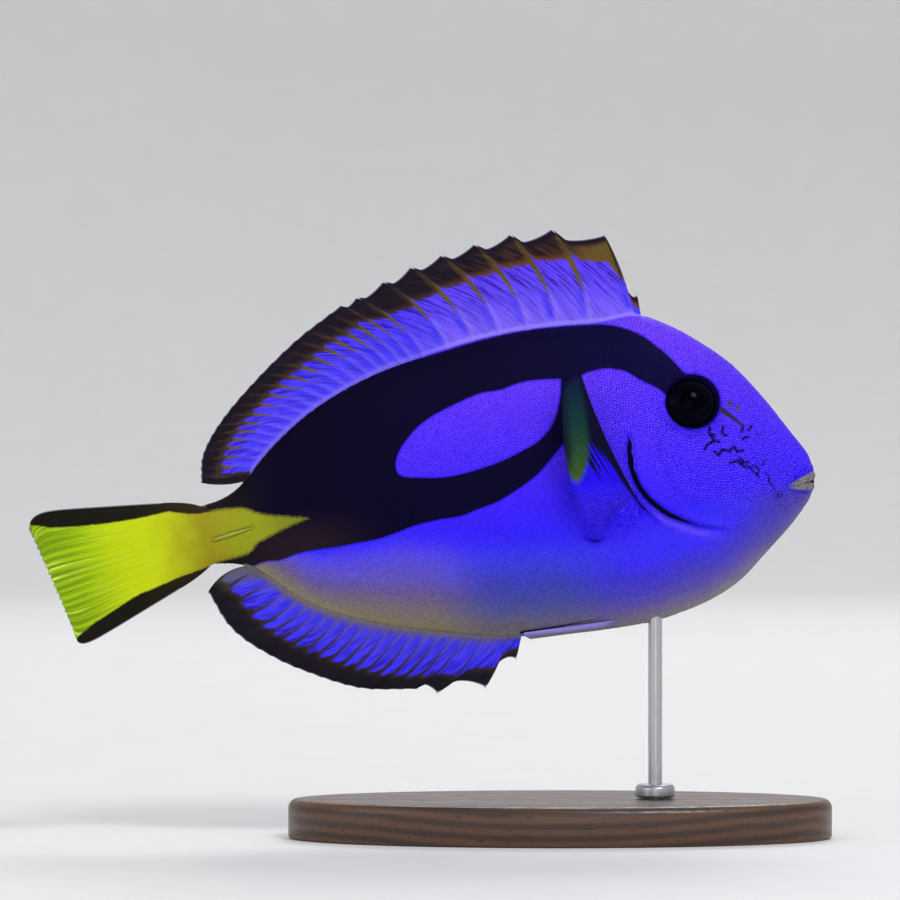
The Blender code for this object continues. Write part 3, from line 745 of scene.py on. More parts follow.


# Group: every marking of the body, with its painted shade and highlights, from the fields that skin and coat
# both carry; back and up are millimetres behind the snout and above it
def makeHidePaint():
    outputs = {"Color": "Color", "Roughness": "Float"}
    given, result = newGroup("hidePaint", {"Dots": 0, "Tint": 0.5}, outputs)
    spot = vectorField("fishPlace")
    back, up, _ = split(spot)
    cloud = noise(spot, 0.12, 3)
    drift = less(cloud, 0.5)
    fromBelly = plus(field("bellyHeight"), times(drift, 3))
    share = calc("DIVIDE", fromBelly, ease(back, 92, 120, 24, 14.5))
    belly = graded(
        back, ramp(share, hide["frontBelly"]), (42, 62, ramp(share, hide["midBelly"])),
        (73, 90, ramp(share, hide["rearBelly"])),
    )
    belly = blend(ease(back, 22, 8, 0, 0.6), belly, hide["jaw"])
    nearEye = times(ease(field("eyeReach"), 9.5, 6.4), ease(up, 21, 14), 0.8)
    grain = field("grain")
    speckle = times(ease(noise(spot, 2.6, 1), 0.36, 0.62), 0.42)
    speckle = ease(plus(times(given["Dots"], 0.7), speckle), 0.3, 0.75)
    lightness = times(plus(1.1, times(drift, 0.2)), plus(0.9, times(given["Tint"], 0.2)))
    lightness = addNode("ShaderNodeCombineXYZ", {0: lightness, 1: lightness, 2: lightness})[0]
    band = graded(back, hide["band"], hide["bandMid"], hide["bandRear"])
    band = blend(times(ease(back, 96, 118), ease(up, 5, -4)), band, hide["bandLow"])
    band = graded(back, band, hide["bandTail"])
    blotched = plus(back, wander(spot, *hide["blotch"]))
    yellow = graded(blotched, hide["stalkTip"], hide["stalk"], hide["tailWarm"], hide["tailBright"])
    colour = layered(
        # The flank colour, painted lighter towards the top as light from above
        ramp(calc("DIVIDE", plus(up, 5), 45), hide["flank"]),
        (times(ease(share, 1.02, 0.7), ease(up, 2, -4)), belly),
        (ease(distanceTo(spot, features["armpit"]), 9.5, 2.5, 0, 0.8), hide["deep"]),
        (nearEye, hide["deep"]),
        (1, lightness, "MULTIPLY"),
        (times(less(1, speckle), grain, 0.24), hide["net"]),
        (times(speckle, grain), hide["dot"], "MULTIPLY"),
        # Painted highlight, in the pale net colour, on the raised edge behind the gill slit
        (times(field("gillSwellHighlight"), 0.24), hide["net"]),
        # Painted shade in the furrows of the folds round the pectoral root
        (times(rippleFurrowShade(spot), field("rippled"), 0.9), hide["deep"]),
        # A halo of painted shade round the slits and creases
        (ease(field("slitShadeHalo"), -1.1, -0.2, 0, 0.5), hide["deep"]),
        # Painted highlight along the gill cover's rim
        (frayed("gillRimHighlight", spot, 0.2, 0.2), hide["gillRim"]),
        # Painted shade in the gill slit, creases and mouth gap
        (frayed("slitShadeEdge", spot, 0.26, 0.16, 2), hide["slit"]),
        (frayed("strokeEdge", spot, 0.36, 0.55, 1.9), hide["stroke"]),
        (frayed("oliveEdge", spot, 0.25, 0.25, 2), hide["olive"]),
        (ease(field("nostrilEdge"), -0.32, -0.1), hide["nostril"]),
        # Painted shade in the nostril pits
        (ease(field("nostrilEdge"), 0.05, 0.25), hide["nostrilPit"]),
        (ease(field("bandEdge"), -0.6, -0.1, 0, 0.6), hide["halo"]),
        (frayed("bandEdge", spot, 0.22, 0.25), band),
        (frayed("tailEdge", spot, 0.9, 1, 2), yellow),
    )
    join(colour, result["Color"])
    join(ease(cloud, 0.3, 0.7, 0.42, 0.52), result["Roughness"])


def makeHideMaterial(name, onScales):
    material, shader = newMaterial(name, *hide["finish"])
    sockets = {"Place": vectorField("fishPlace"), "Spacing": 0.2 if onScales else 0.5, "Wrinkle": 0.4}
    beads = useGroup("beadedHide", sockets)
    dots = ease(field("crown"), 0.2, 0.6) if onScales else beads["Gaps"]
    paint = useGroup("hidePaint", {"Dots": dots, "Tint": field("tint") if onScales else 0.4})
    join(paint["Roughness"], shader["Roughness"])
    return dress(material, shader, paint["Color"], beads["Height"], 0.2 if onScales else 0.5, 0.1)


# Skin: one closed surface from the mouth to the tail root
def buildSkin(material):
    count = body["ringPoints"]
    plain = -0.5 * math.pi + 2 * math.pi * np.arange(count) / count
    turns = plain + body["flankCrowding"] * np.sin(2 * plain)
    points, _ = skinSurface(*np.meshgrid(spacedStations(body["ringSpacing"]), turns, indexing="ij"))
    centre = np.array([0, body["throatUp"], 0])
    inner = [mix(centre, points[0], scale) + [deeper, 0, 0] for scale, deeper in body["throat"]]
    tailEnd = mix(points[-1].mean(axis=0), points[-1], 0.02)
    grid = np.swapaxes(np.concatenate([inner[::-1], points, tailEnd[None]]), 0, 1)
    world = place(grid)
    faces, uv = gridFaces(*grid.shape[:2], wrap=True)
    faces, uv = facingOut(world, faces, uv)
    fields = {"fishPlace": grid, **markings(grid)}
    addPiece("skin", world, faces, uv[..., ::-1], material, fields, ("head", "trunk", "tail_stalk"))
    print("skin", len(faces), "faces")


coat = {
    "spacing": ((0, 0.56), (14, 0.63), (34, 0.66), (60, 0.68), (120, 0.68), (140, 0.6)),
    "rim": ((-0.62, 0, -0.05), (-0.3, -0.52, 0), (0.3, -0.5, 0.03), (0.72, 0, 0.045), (0.3, 0.5, 0.03),
            (-0.3, 0.52, 0)),
    "crown": (0.08, 0, 0.12), "bareRows": (3, 2), "jitter": 0.16, "turnJitter": 1.4, "shiftJitter": 0.8,
    "regions": (("Head", 0, 43), ("Shoulder", 43, 72), ("Flank", 72, 104), ("Stalk", 104, 141)),
    "uvEdge": 0.02, "uvPatch": 0.003,
    "eyeGap": 6.35, "slitGap": 0.55, "grooveGap": 0.8, "nostrilGap": 0.2,
}


# Where scales grow: not over the eyes, lips, nostrils, gill slit and blade groove
def scaled(back, up):
    lipBack, lipUp, lipLength, lipHeight = features["lipArea"]
    slit, share, _ = nearFeature("gillEdge", back, up)
    groove, _, _ = nearFeature("bladeGroove", back, up)
    kept = (toSpot(features["eye"], back, up) > coat["eyeGap"]) & (groove > coat["grooveGap"])
    kept &= np.hypot((back - lipBack) / lipLength, (up - lipUp) / lipHeight) >= 1
    kept &= (slit > coat["slitGap"]) | (share < 0.2) | (share > 0.76)
    for nostril in features["nostrils"]:
        kept &= toSpot(nostril, back, up) > nostril[2] + coat["nostrilGap"]
    return kept


# Coat: rows of small domed scales that lie back along the body, one mesh for each region and side
def buildScales(material):
    plain = np.linspace(-0.5 * math.pi, 1.5 * math.pi, 721)
    spots = []
    first, last = coat["bareRows"]
    for number, station in enumerate(spacedStations(coat["spacing"])[first:-last]):
        ring = bodySurface(np.full(plain.shape, station), plain)
        reached = runningSum(stepLengths(ring))
        total = int(reached[-1] / readOff(coat["spacing"], ring[:, 0].mean()))
        steps = (np.arange(total) + 0.5 * (number % 2)) / total
        spots.append(np.stack([np.full(total, station), np.interp(steps * reached[-1], reached, plain)]))
    station, turn = np.concatenate(spots, axis=1)
    back, up, _ = bodySurface(station, turn).T
    root, directions = skinSurface(station, turn)
    kept = scaled(back, up)
    total = 0
    for region, start, end in coat["regions"]:
        for side, sign in sides:
            chosen = kept & (back >= start) & (back < end) & (np.cos(turn) * sign > 0)
            frames = [direction[chosen] for direction in directions]
            name = f"scales{region}{side.title()}"
            total += buildScalePatch(name, root[chosen], frames, turn[chosen], (start, end), material)
    print("scales", total, "faces")


def buildScalePatch(name, root, directions, turn, span, material):
    rear, across, outward = directions
    count = len(root)
    spacing = readOff(coat["spacing"], root[:, 0])
    size = (spacing * (1 + coat["jitter"] * dice.uniform(-1, 1, count)))[:, None, None]
    angle = coat["jitter"] * dice.normal(0, coat["turnJitter"], count)[:, None]
    shift = dice.normal(0, coat["jitter"] * coat["shiftJitter"], (count, 2)) * spacing[:, None]
    root = root + rear * shift[:, :1] + across * shift[:, 1:]
    local = np.array([coat["crown"], *coat["rim"]])
    corners = len(local)
    cosine, sine = np.cos(angle), np.sin(angle)
    turned = [local[:, 0] * cosine - local[:, 1] * sine, local[:, 0] * sine + local[:, 1] * cosine]
    turned = np.stack(turned, -1) * size
    points = root[:, None] + turned[..., :1] * rear[:, None] + turned[..., 1:] * across[:, None]
    points = points + local[:, 2:] * size * outward[:, None]
    rim = np.arange(1, corners)
    fan = np.stack([np.zeros(corners - 1, int), rim, np.roll(rim, -1)], -1)
    faces = (fan + corners * np.arange(count)[:, None, None]).reshape(-1, 3)
    crown = np.zeros((count, corners))
    crown[:, 0] = 1
    tint = np.repeat(dice.uniform(0, 1, count)[:, None], corners, 1)
    share = (root[:, 0] - span[0]) / (span[1] - span[0])
    middle = mix(coat["uvEdge"], 1 - coat["uvEdge"], np.stack([share, np.mod(turn / math.pi + 0.5, 1)], -1))
    uv = (middle[:, None] + local[:, :2] * coat["uvPatch"]).reshape(-1, 2)[faces.reshape(-1)]
    fields = {"fishPlace": points, "crown": crown, "tint": tint, **markings(points)}
    addPiece(name, place(points), faces, uv, material, fields)
    return len(faces)


# Eyes: a dark iris round a black pupil, seated square to the flank
eyes = {
    "spot": (26.5, 20.1), "radius": 6, "squash": 0.95, "depth": 3.7, "standsOut": 1.8,
    "cornea": (0.16, 0.42), "irisDip": (0.05, 0.66, 0.14),
    "pupil": 0.5, "iris": 0.86, "columns": 96, "rows": 72,
    "pupilColour": (0, 0, 2), "irisColour": (1, 1, 11), "irisFleck": (2, 2, 15), "ringColour": (5, 6, 21),
    "rimColour": (1, 1, 10), "finish": (0.08, 0.035, (0.6, 0.6, 1)),
}


def makeEyeMaterial():
    material, shader = newMaterial("wetEye", *eyes["finish"])
    reach, pupil, iris = field("irisReach"), eyes["pupil"], eyes["iris"]
    fibres = noise(stretched(vectorField("irisPlace"), (9, 9, 1)), 1, 4, 0.65)
    ring = times(ease(reach, pupil - 0.01, pupil + 0.02), ease(reach, pupil + 0.09, pupil + 0.03), 0.5)
    colour = layered(
        eyes["irisColour"],
        (ease(fibres, 0.45, 0.75), eyes["irisFleck"]),
        (ease(reach, iris - 0.06, iris + 0.04), eyes["rimColour"]),
        (ring, eyes["ringColour"]),
        (ease(reach, pupil + 0.015, pupil - 0.015), eyes["pupilColour"]),
    )
    return dress(material, shader, colour, fibres, 0.05, 0.1)


def buildEyes(material):
    turn, swing = roundGrid(eyes["columns"], np.linspace(0, math.pi, eyes["rows"]))
    reach, height = np.sin(swing), np.cos(swing)
    front = height > 0
    rise, width = eyes["cornea"]
    dip, spot, dipWidth = eyes["irisDip"]
    cornea = np.where(front, rise * bell(reach, width) - dip * bell(reach - spot, dipWidth), 0)
    amounts = (
        reach * np.cos(turn) * eyes["radius"],
        reach * np.sin(turn) * eyes["radius"] * eyes["squash"],
        height * eyes["depth"] + cornea - eyes["depth"] + eyes["standsOut"],
    )
    fields = {
        "irisReach": np.where(front, reach, 1),
        "irisPlace": np.stack([np.cos(turn), np.sin(turn), reach], -1),
    }
    flankPieces("eyeball", "eye", eyes["spot"], 0, amounts, material, fields)
    print("eyes")


# Lips: two soft rolls from corner to corner with fine upright furrows
lips = {
    "cornerBack": 6.3, "cornerOut": 4.3, "roundness": 0.8, "endRadius": 0.2, "steps": 161, "sides": 28,
    "furrow": 0.06, "furrows": 37,
    "rolls": {
        "upper_lip": {"rise": 1.1, "front": 0.8, "cornerRise": -0.75, "radius": 1.26},
        "lower_lip": {"rise": -1.35, "front": 1.1, "cornerRise": -1.25, "radius": 1.14},
    },
    "pale": (140, 138, 128), "shade": (70, 64, 92), "edge": (60, 44, 210), "finish": (0.45, 0.35),
}


def makeLipMaterial():
    material, shader = newMaterial("paleLip", *lips["finish"])
    lines = noise(stretched(vectorField("lipPlace"), (1, 5, 1)), 1, 3, 0.6)
    colour = layered(
        lips["shade"],
        (ease(lines, 0.35, 0.65), lips["pale"]),
        (ease(field("lipRim"), 0.45, 0.95), lips["edge"]),
        (ease(split(vectorField("fishPlace"))[0], 4.4, 6.6), lips["edge"]),
    )
    return dress(material, shader, colour, lines, 0.3, 0.1)


def buildLips(material):
    turn, swing = roundGrid(lips["sides"], math.pi * (np.linspace(0, 1, lips["steps"]) - 0.5))
    ahead = np.maximum(np.cos(swing), 0)
    furrows = lips["furrow"] * np.sin(swing * lips["furrows"] + 1.3 * np.sin(turn)) * ahead
    for name, lip in lips["rolls"].items():
        radius = mix(lips["endRadius"], lip["radius"], ahead ** 0.5) + furrows
        reach = -radius * np.cos(turn)
        back = mix(lips["cornerBack"], lip["front"], ahead ** lips["roundness"]) + reach * np.cos(swing)
        up = mix(lip["cornerRise"], lip["rise"], ahead) + radius * np.sin(turn)
        points = np.stack([back, up, (reach - lips["cornerOut"]) * np.sin(swing)], -1)
        fields = {
            "fishPlace": points,
            "lipPlace": np.stack([np.cos(turn), swing * 4, np.sin(turn)], -1),
            "lipRim": np.sign(lip["rise"]) * np.sin(turn),
        }
        roundPiece(f"{name}_roll", place(points), material, fields, (name,))
    print("lips")


# Fins on the midline: rays as root back, tip back, tip up, and the notch behind each spine
dorsalFin = {
    "name": "dorsal_fin", "top": True,
    "spines": (
        (35.8, 36.2, 46.1, 10), (37.4, 42.5, 60.2, 2.3), (48.1, 54.4, 62.7, 2.2), (55.2, 64, 62.4, 1.9),
        (61.9, 72.4, 60.9, 1.7), (68.4, 80.2, 59.1, 1.6), (74.6, 87.4, 57, 1.5), (80.5, 93.9, 54.2, 1.2),
        (86.1, 100.4, 51.1, 0.8),
    ),
    "guides": ((89, 103.8, 49.3), (98.5, 114.5, 42.5), (108.5, 125, 33.8), (117.5, 133.2, 25.6),
               (124.2, 138, 18.4), (129.3, 139, 12)),
    "softRays": 20, "lastBow": -0.06, "slant": 0.62, "lastDark": 26.6,
    "darkFrom": ((0, 0.5), (0.6, 0.6), (1, 0.79), (3, 0.79), (5, 0.74), (8, 0.68), (11, 0.64),
                 (28, 0.6)),
    "wedge": ((0, 0.5), (0.99, 0.5), (1, 2.7), (1.5, 2.7), (1.51, 1.2), (6, 1.05), (9, 0.75),
              (28, 0.55)),
    "wedgeFoot": ((0, 0.5), (1, 0.42), (2, 0.27), (6, 0.3), (9, 0.3), (28, 0.34)),
}
analFin = {
    "name": "anal_fin", "top": False,
    "spines": ((69.6, 71.3, -34.9, 5.2), (72.6, 78.9, -40.6, 2.9), (78.6, 90.1, -40.9, 1.3)),
    "guides": ((82.6, 94.6, -39.3), (93, 106.5, -38.1), (103, 116.5, -34.3), (112.5, 126.5, -28.9),
               (120.5, 135, -21.8), (130.6, 139.6, -12.9)),
    "softRays": 19, "lastBow": -0.12, "slant": 0.35, "lastDark": 30,
    "darkFrom": ((0, 0.62), (1, 0.66), (3, 0.72), (8, 0.69), (21, 0.6)),
    "wedge": ((0, 0.55), (3, 0.6), (21, 0.55)),
    "wedgeFoot": ((0, 0.3), (3, 0.12), (21, 0.1)),
}
finShape = {
    "softNotch": 0.16, "spike": 0.4, "notchPlace": (0.96, 0.8), "bow": 0.08, "rows": 46, "spineSteps": 16,
    "softSteps": 8, "sunk": 0.9, "rootHalf": 0.72, "webHalf": 0.16, "rayHalf": (0.26, 0.13),
    "rayWidth": (0.42, 0.24), "ripple": (0.22, 2.1), "pucker": 0.05, "scallop": 0.03, "tip": (0.46, 0.32),
    "goldRays": (0.8, 1.1, 1.5, 2), "deepBehind": (0, 0.25, 1.1, 2.4), "deepReach": (0.04, 0.1, 0.24, 0.44),
    "finish": (0.5, 0.2, (0.45, 0.4, 0.8)),
}
dorsalPaint = {
    "web": [(0, (128, 104, 250)), (0.12, (120, 94, 252)), (0.35, (104, 78, 251)), (0.75, (92, 58, 251)),
            (1, (80, 46, 246))],
    "wedge": [(0.3, (108, 96, 58)), (0.5, (98, 84, 34)), (0.66, (92, 70, 24)), (0.84, (66, 44, 24))],
    # base is the pale lavender of the root strip and of the patches ahead of the spines; along the dorsal
    # fin's root it is partly a painted highlight
    "base": (150, 130, 252), "deep": (52, 48, 250), "streak": (38, 14, 158), "rust": (58, 40, 24),
    "glow": (100, 62, 26), "dark": (20, 14, 20), "gold": (108, 92, 26), "rim": (112, 116, 140),
    "tip": (206, 206, 232),
    "baseHeight": 0.05, "pale": 0.45, "wedgeGold": 0.7, "fold": 0, "patch": 0.9, "rear": 0.6,
}
analPaint = {
    "web": [(0, (112, 102, 116)), (0.06, (96, 88, 146)), (0.16, (78, 70, 226)), (0.45, (66, 56, 252)),
            (1, (48, 28, 246))],
    "wedge": [(0.25, (70, 58, 96)), (0.45, (62, 48, 48)), (0.8, (32, 25, 20))],
    "base": (112, 102, 104), "deep": (48, 40, 248), "streak": (34, 20, 160), "rust": (46, 36, 24),
    "glow": (52, 38, 24), "dark": (17, 14, 15), "gold": (96, 94, 74), "rim": (120, 122, 140),
    "tip": (206, 206, 226),
    "baseHeight": 0.03, "pale": 0.12, "wedgeGold": 0, "fold": 0.85, "patch": 0.5, "rear": 0,
}


def finTable(fin):
    spots = np.linspace(0, len(fin["guides"]) - 1, fin["softRays"])
    soft = [[*along(fin["guides"], spot), finShape["softNotch"]] for spot in spots]
    return np.array([*fin["spines"], *soft], float)


# Points on a midline fin at ray numbers and shares of the way from the root to the margin
def finPoints(fin, table, ray, share):
    last = len(table) - 1
    start = np.minimum(ray.astype(int), last - 1)
    part = ray - start
    here, after = table[start], table[start + 1]
    notchPlace = np.where(ray < 1, *finShape["notchPlace"])
    fall = 1 - (1 - np.minimum(part / notchPlace, 1)) ** 1.7
    notch = np.where(part < notchPlace, fall, ((1 - part) / (1 - notchPlace)) ** 1.2)
    footBack = mix(here[..., 0], after[..., 0], part)
    foot = np.stack([footBack, edgeUp(footBack, fin["top"])], -1)
    run = mix(here[..., 1:3], after[..., 1:3], part[..., None]) - foot
    spined = (ray < len(fin["spines"])) & (part > 1e-6)
    full = np.linalg.norm(run, axis=-1)
    length = full - here[..., 3] * notch - np.where(spined, finShape["spike"], 0)
    run *= (length / full)[..., None]
    curl = mix(finShape["bow"], fin["lastBow"], smooth(last - 4, last, ray)) * smooth(0.2, 1.8, ray)
    bow = np.stack([run[..., 1], -run[..., 0]], -1) * (-curl if fin["top"] else curl)[..., None]
    return foot + run * share[..., None] + bow * (4 * share * (1 - share))[..., None], length


# A closed sheet from a grid of spots, how far out its middle lies and half its thickness; one face
# takes the lower half of the uv square and the other the upper
def sheetPiece(name, spot, out, half, fields, material, replaced, side=1):
    columns, rows = out.shape
    points = np.concatenate([
        np.concatenate([spot, (side * (out + thick))[..., None]], -1) for thick in (half, -half)
    ])
    faces, uv = gridFaces(columns, rows)
    offset = columns * rows
    rim = np.concatenate([
        np.arange(columns) * rows, (columns - 1) * rows + np.arange(1, rows),
        np.arange(columns - 2, -1, -1) * rows + rows - 1, np.arange(rows - 2, 0, -1),
    ])
    after = np.roll(rim, -1)
    edge = np.stack([rim, after, offset + after, offset + rim], -1)
    faces = np.concatenate([faces, offset + faces[:, ::-1], edge])
    number = np.stack([rim, after, after, rim], -1)
    edgeUv = np.stack([number // rows / (columns - 1), number % rows / (rows - 1)], -1)
    share = [1, 0.48]
    uv = np.concatenate([uv * share, uv[:, ::-1] * share + [0, 0.52], edgeUv * share])
    world = place(points)
    faces, uv = facingOut(world, faces, uv)
    doubled = {label: np.concatenate([values, values]) for label, values in fields.items()}
    addPiece(name, world, faces, uv, material, {**doubled, "fishPlace": points}, replaced)


def buildMedianFin(fin, material):
    table, top, spineCount = finTable(fin), fin["top"], len(fin["spines"])
    lastRay = len(table) - 1
    ray = np.concatenate([
        np.arange(0, spineCount, 1 / finShape["spineSteps"]),
        np.arange(spineCount, lastRay + 1e-6, 1 / finShape["softSteps"]),
    ])
    ray, share = np.meshgrid(ray, np.linspace(0, 1, finShape["rows"]), indexing="ij")
    spot, length = finPoints(fin, table, ray, share)
    across = runningSum(stepLengths(spot[:, finShape["rows"] // 2]))[:, None] + np.zeros_like(ray)
    nearest = np.round(ray)
    off = np.linalg.norm(spot - finPoints(fin, table, nearest, share)[0], axis=-1) * np.sign(ray - nearest)
    before = np.floor(ray - 1e-6).clip(0)
    behind = np.linalg.norm(spot - finPoints(fin, table, before, share)[0], axis=-1)
    part = ray - before
    soft = smooth(spineCount - 1, spineCount + 0.6, ray)
    ridge = mix(*finShape["rayHalf"], soft) * (1 - 0.65 * share)
    ridge *= bell(np.abs(off) - soft * 0.42 * smooth(0.4, 0.75, share), mix(*finShape["rayWidth"], soft))
    web = mix(finShape["webHalf"], finShape["rootHalf"], (1 - share) ** 5)
    sway, rate = finShape["ripple"]
    ripple = sway * np.sin(ray * rate) * share ** 2
    ripple += finShape["pucker"] * np.sin(ray * 2 * math.pi) * share
    spot[..., 1] += np.where(share == 0, -finShape["sunk"] if top else finShape["sunk"], 0)
    darkFrom, wedge, wedgeFoot = (readOff(fin[key], ray) for key in ("darkFrom", "wedge", "wedgeFoot"))
    height, margin = share * length, (1 - share) * length
    rise = np.clip((share - wedgeFoot) / np.maximum(darkFrom - wedgeFoot, 1e-6), 0, 1.2)
    beyond = smooth(0, 1, (share - darkFrom) / (1 - darkFrom)) * (ray >= 1.5)
    scallop = finShape["scallop"] * soft * np.cos((part - 0.6) * 2 * math.pi)
    drop = (0.03 + 0.1 * (1 - part)) * (1 - soft) if top else 0.05 * (1 - part)
    forwardOff = off - 0.05 * (1 - soft) * top
    if top:
        gold = between(ray, *finShape["goldRays"])
    else:
        gold = smooth(lastRay - 1.7, lastRay - 0.5, ray + 0.5 - share) * smooth(0.86, 0.6, share)
    tipHalf, tipTaper = finShape["tip"]
    fields = {
        "slantPlace": np.stack([across - fin["slant"] * height, height, ray], -1),
        "margin": margin,
        "reach": share,
        "darkEdge": np.maximum((share - darkFrom - scallop + drop) * length, (ray - fin["lastDark"]) * 4),
        "wedgeEdge": wedge * rise ** 0.65 * (1 - 0.75 * beyond) - np.abs(forwardOff) - 0.06,
        "deepPatch": between(behind, *finShape["deepBehind"]) * between(share, *finShape["deepReach"]),
        "palePatch": smooth(2.2, 0.4, np.abs(off)) * (off < 0) * smooth(0.5, 0.3, share),
        "tipEdge": np.where(soft < 0.5, tipHalf - np.abs(off) - tipTaper * margin, -1),
        "goldPatch": gold,
        "dusk": smooth(0.15 * spineCount, spineCount, ray),
    }
    sheetPiece(f"{fin['name']}_web", spot, ripple, web + ridge, fields, material, (fin["name"],))
    print(fin["name"])


def makeFinMaterial(name, paint):
    material, shader = newMaterial(name, *finShape["finish"])
    slant = vectorField("slantPlace")
    reach, dusk, margin, goldPatch = field("reach"), field("dusk"), field("margin"), field("goldPatch")
    fine = streaked(slant, 2.3, 0.16, 0.5, 0.57)
    broad = streaked(slant, 0.9, 0.16, 0.4, 0.62)
    worn = times(ease(dusk, 0.7, 1), paint["rear"])
    fresh = less(1, worn)
    front = ease(dusk, 0.1, 0.9, 1, 0.35)
    wedge = layered(
        ramp(reach, paint["wedge"]),
        (times(broad["Mask"], paint["wedgeGold"]), paint["gold"]),
        (times(fine["Mask"], 0.35), paint["rust"]),
    )
    rust = blend(ease(dusk, 0.1, 0.9), paint["glow"], paint["rust"])
    warm = times(broad["Mask"], ease(margin, 0.6, 2.6, 0, 0.36), ease(dusk, 0.2, 0.9, 1, 0.35))
    rayLine = times(ease(field("wedgeEdge"), -0.2, 0.4, 0, 0.8), front, ease(margin, 0.8, 2.6))
    patch = times(ease(margin, 0.8, 2.6, 0, paint["patch"]), ease(broad["Height"], 0.3, 0.5, 0.45, 1))
    dark = layered(
        rust,
        (ease(field("darkEdge"), 0.1, 2), paint["dark"]),
        (warm, rust),
        (rayLine, wedge),
        (times(goldPatch, patch), blend(times(broad["Mask"], 0.7), paint["gold"], paint["glow"])),
    )
    # A pale strip along the fin's root: on the dorsal fin partly a painted highlight along its base, on the
    # anal fin its own grey
    foot = ease(reach, paint["baseHeight"], paint["baseHeight"] * 0.3)
    colour = layered(
        ramp(reach, paint["web"]),
        (worn, paint["deep"]),
        (times(field("palePatch"), paint["pale"], fresh), paint["base"]),
        (times(field("deepPatch"), ease(broad["Height"], 0.3, 0.6, 0.85, 0.4)), paint["deep"]),
        (times(fine["Mask"], ease(reach, 0.08, 0.6, 0.3, 0.9)), paint["streak"]),
        (times(foot, fresh), paint["base"]),
        (times(goldPatch, paint["fold"]), paint["gold"]),
        (frayed("wedgeEdge", stretched(slant, (2.4, 0.35, 1)), 0.34, 0.5, 1), wedge),
        (frayed("darkEdge", stretched(slant, (2.2, 0.3, 1)), 0.55, 2.6, 1), dark),
        (ease(margin, 0.3, 0.16), paint["rim"]),
        (ease(field("tipEdge"), -0.1, 0.06), paint["tip"]),
    )
    return dress(material, shader, colour, fine["Height"], 0.4, 0.2)


# Tail fin: a fan with branching rays and a slightly frayed rear margin
tailFin = {
    "root": ((139.2, 6.6), (138.1, -6.6)), "tip": ((178.3, 5), (170.1, -20)), "rootHeight": 13,
    "spread": 1.2, "bulge": (4.2, 3.5), "bulgePower": 16, "rays": 18, "steps": 10,
    "rows": 90, "rootProud": -0.15, "webHalf": 0.17, "taper": 2.3, "fray": 0.3, "sunk": 4, "ridge": 0.1,
    "wave": 0.35, "finish": (0.45, 0.15, (0.8, 0.8, 0.5)),
    "rim": (150, 152, 168), "dark": (10, 8, 9), "brown": (34, 26, 15), "warm": (153, 146, 27),
    "green": (154, 173, (186, 228, 10)), "pale": (226, 240, 116), "shade": (138, 166, 10),
    "tipShade": (98, 134, 14),
}


# Ray numbers and shares of the way out, on a grid with steps between the rays
def rayGrid(fin):
    count = (fin["rays"] - 1) * fin["steps"] + 1
    rays = np.linspace(0, fin["rays"] - 1, count)
    return np.meshgrid(rays, np.linspace(0, 1, fin["rows"]), indexing="ij")


def buildTailFin(material):
    ray, share = rayGrid(tailFin)
    low = ray / (tailFin["rays"] - 1)
    root, tip = (mix(*np.array(tailFin[end]), low[..., None]) for end in ("root", "tip"))
    run = tip - root
    full = np.linalg.norm(run, axis=-1)
    nick = tailFin["fray"] * (0.5 - 0.5 * np.cos(2 * math.pi * ray)) + 0.12 * np.sin(ray * 5.3) ** 2
    length = full - nick * np.minimum(1, 12 * low * (1 - low))
    reach = np.where(share == 0, -tailFin["sunk"] / length, share)
    spot = root + run * (reach * length / full)[..., None]
    bulge = np.sqrt(1 - share ** tailFin["bulgePower"]) * (1 - (1 - share) ** 14)
    bulge *= 0.35 + 0.65 * share
    level = 1 - 2 * low
    spot[..., 1] += np.where(low < 0.5, *tailFin["bulge"]) * level * np.abs(level) ** 0.6 * bulge
    widening = tailFin["rootHeight"] * (1 + tailFin["spread"] * share)
    gap = widening / (tailFin["rays"] - 1)
    off = (ray - np.round(ray)) * gap
    split = 0.26 * gap * smooth(0.3, 0.6, share)
    ridge = tailFin["ridge"] * bell(np.abs(off) - split, 0.2 * gap)
    ridge *= smooth(0.25, 0.6, share) * (1 - 0.4 * share)
    middle = widthAt(level, body["stations"][-1][4] + tailFin["rootProud"])
    web = tailFin["webHalf"] + middle * (1 - share) ** tailFin["taper"]
    wave = tailFin["wave"] * np.sin(low * 5 + share * 2) * share ** 1.5
    sideMargin = np.minimum(low, 1 - low) * widening + 3 * smooth(0.25, 0, share)
    fields = {
        "finPlace": np.stack([ray * 1.3, share * length, np.zeros_like(share)], -1),
        "reach": share,
        "margin": np.minimum((1 - share) * length + 0.12, sideMargin + 0.08),
        "tailEdge": outlineField(spot[..., 0], spot[..., 1], palette["tail"]),
        "rayOff": off,
    }
    sheetPiece("tail_fan", spot, wave, web + ridge, fields, material, ("caudal_fin",))
    print("tail fin")


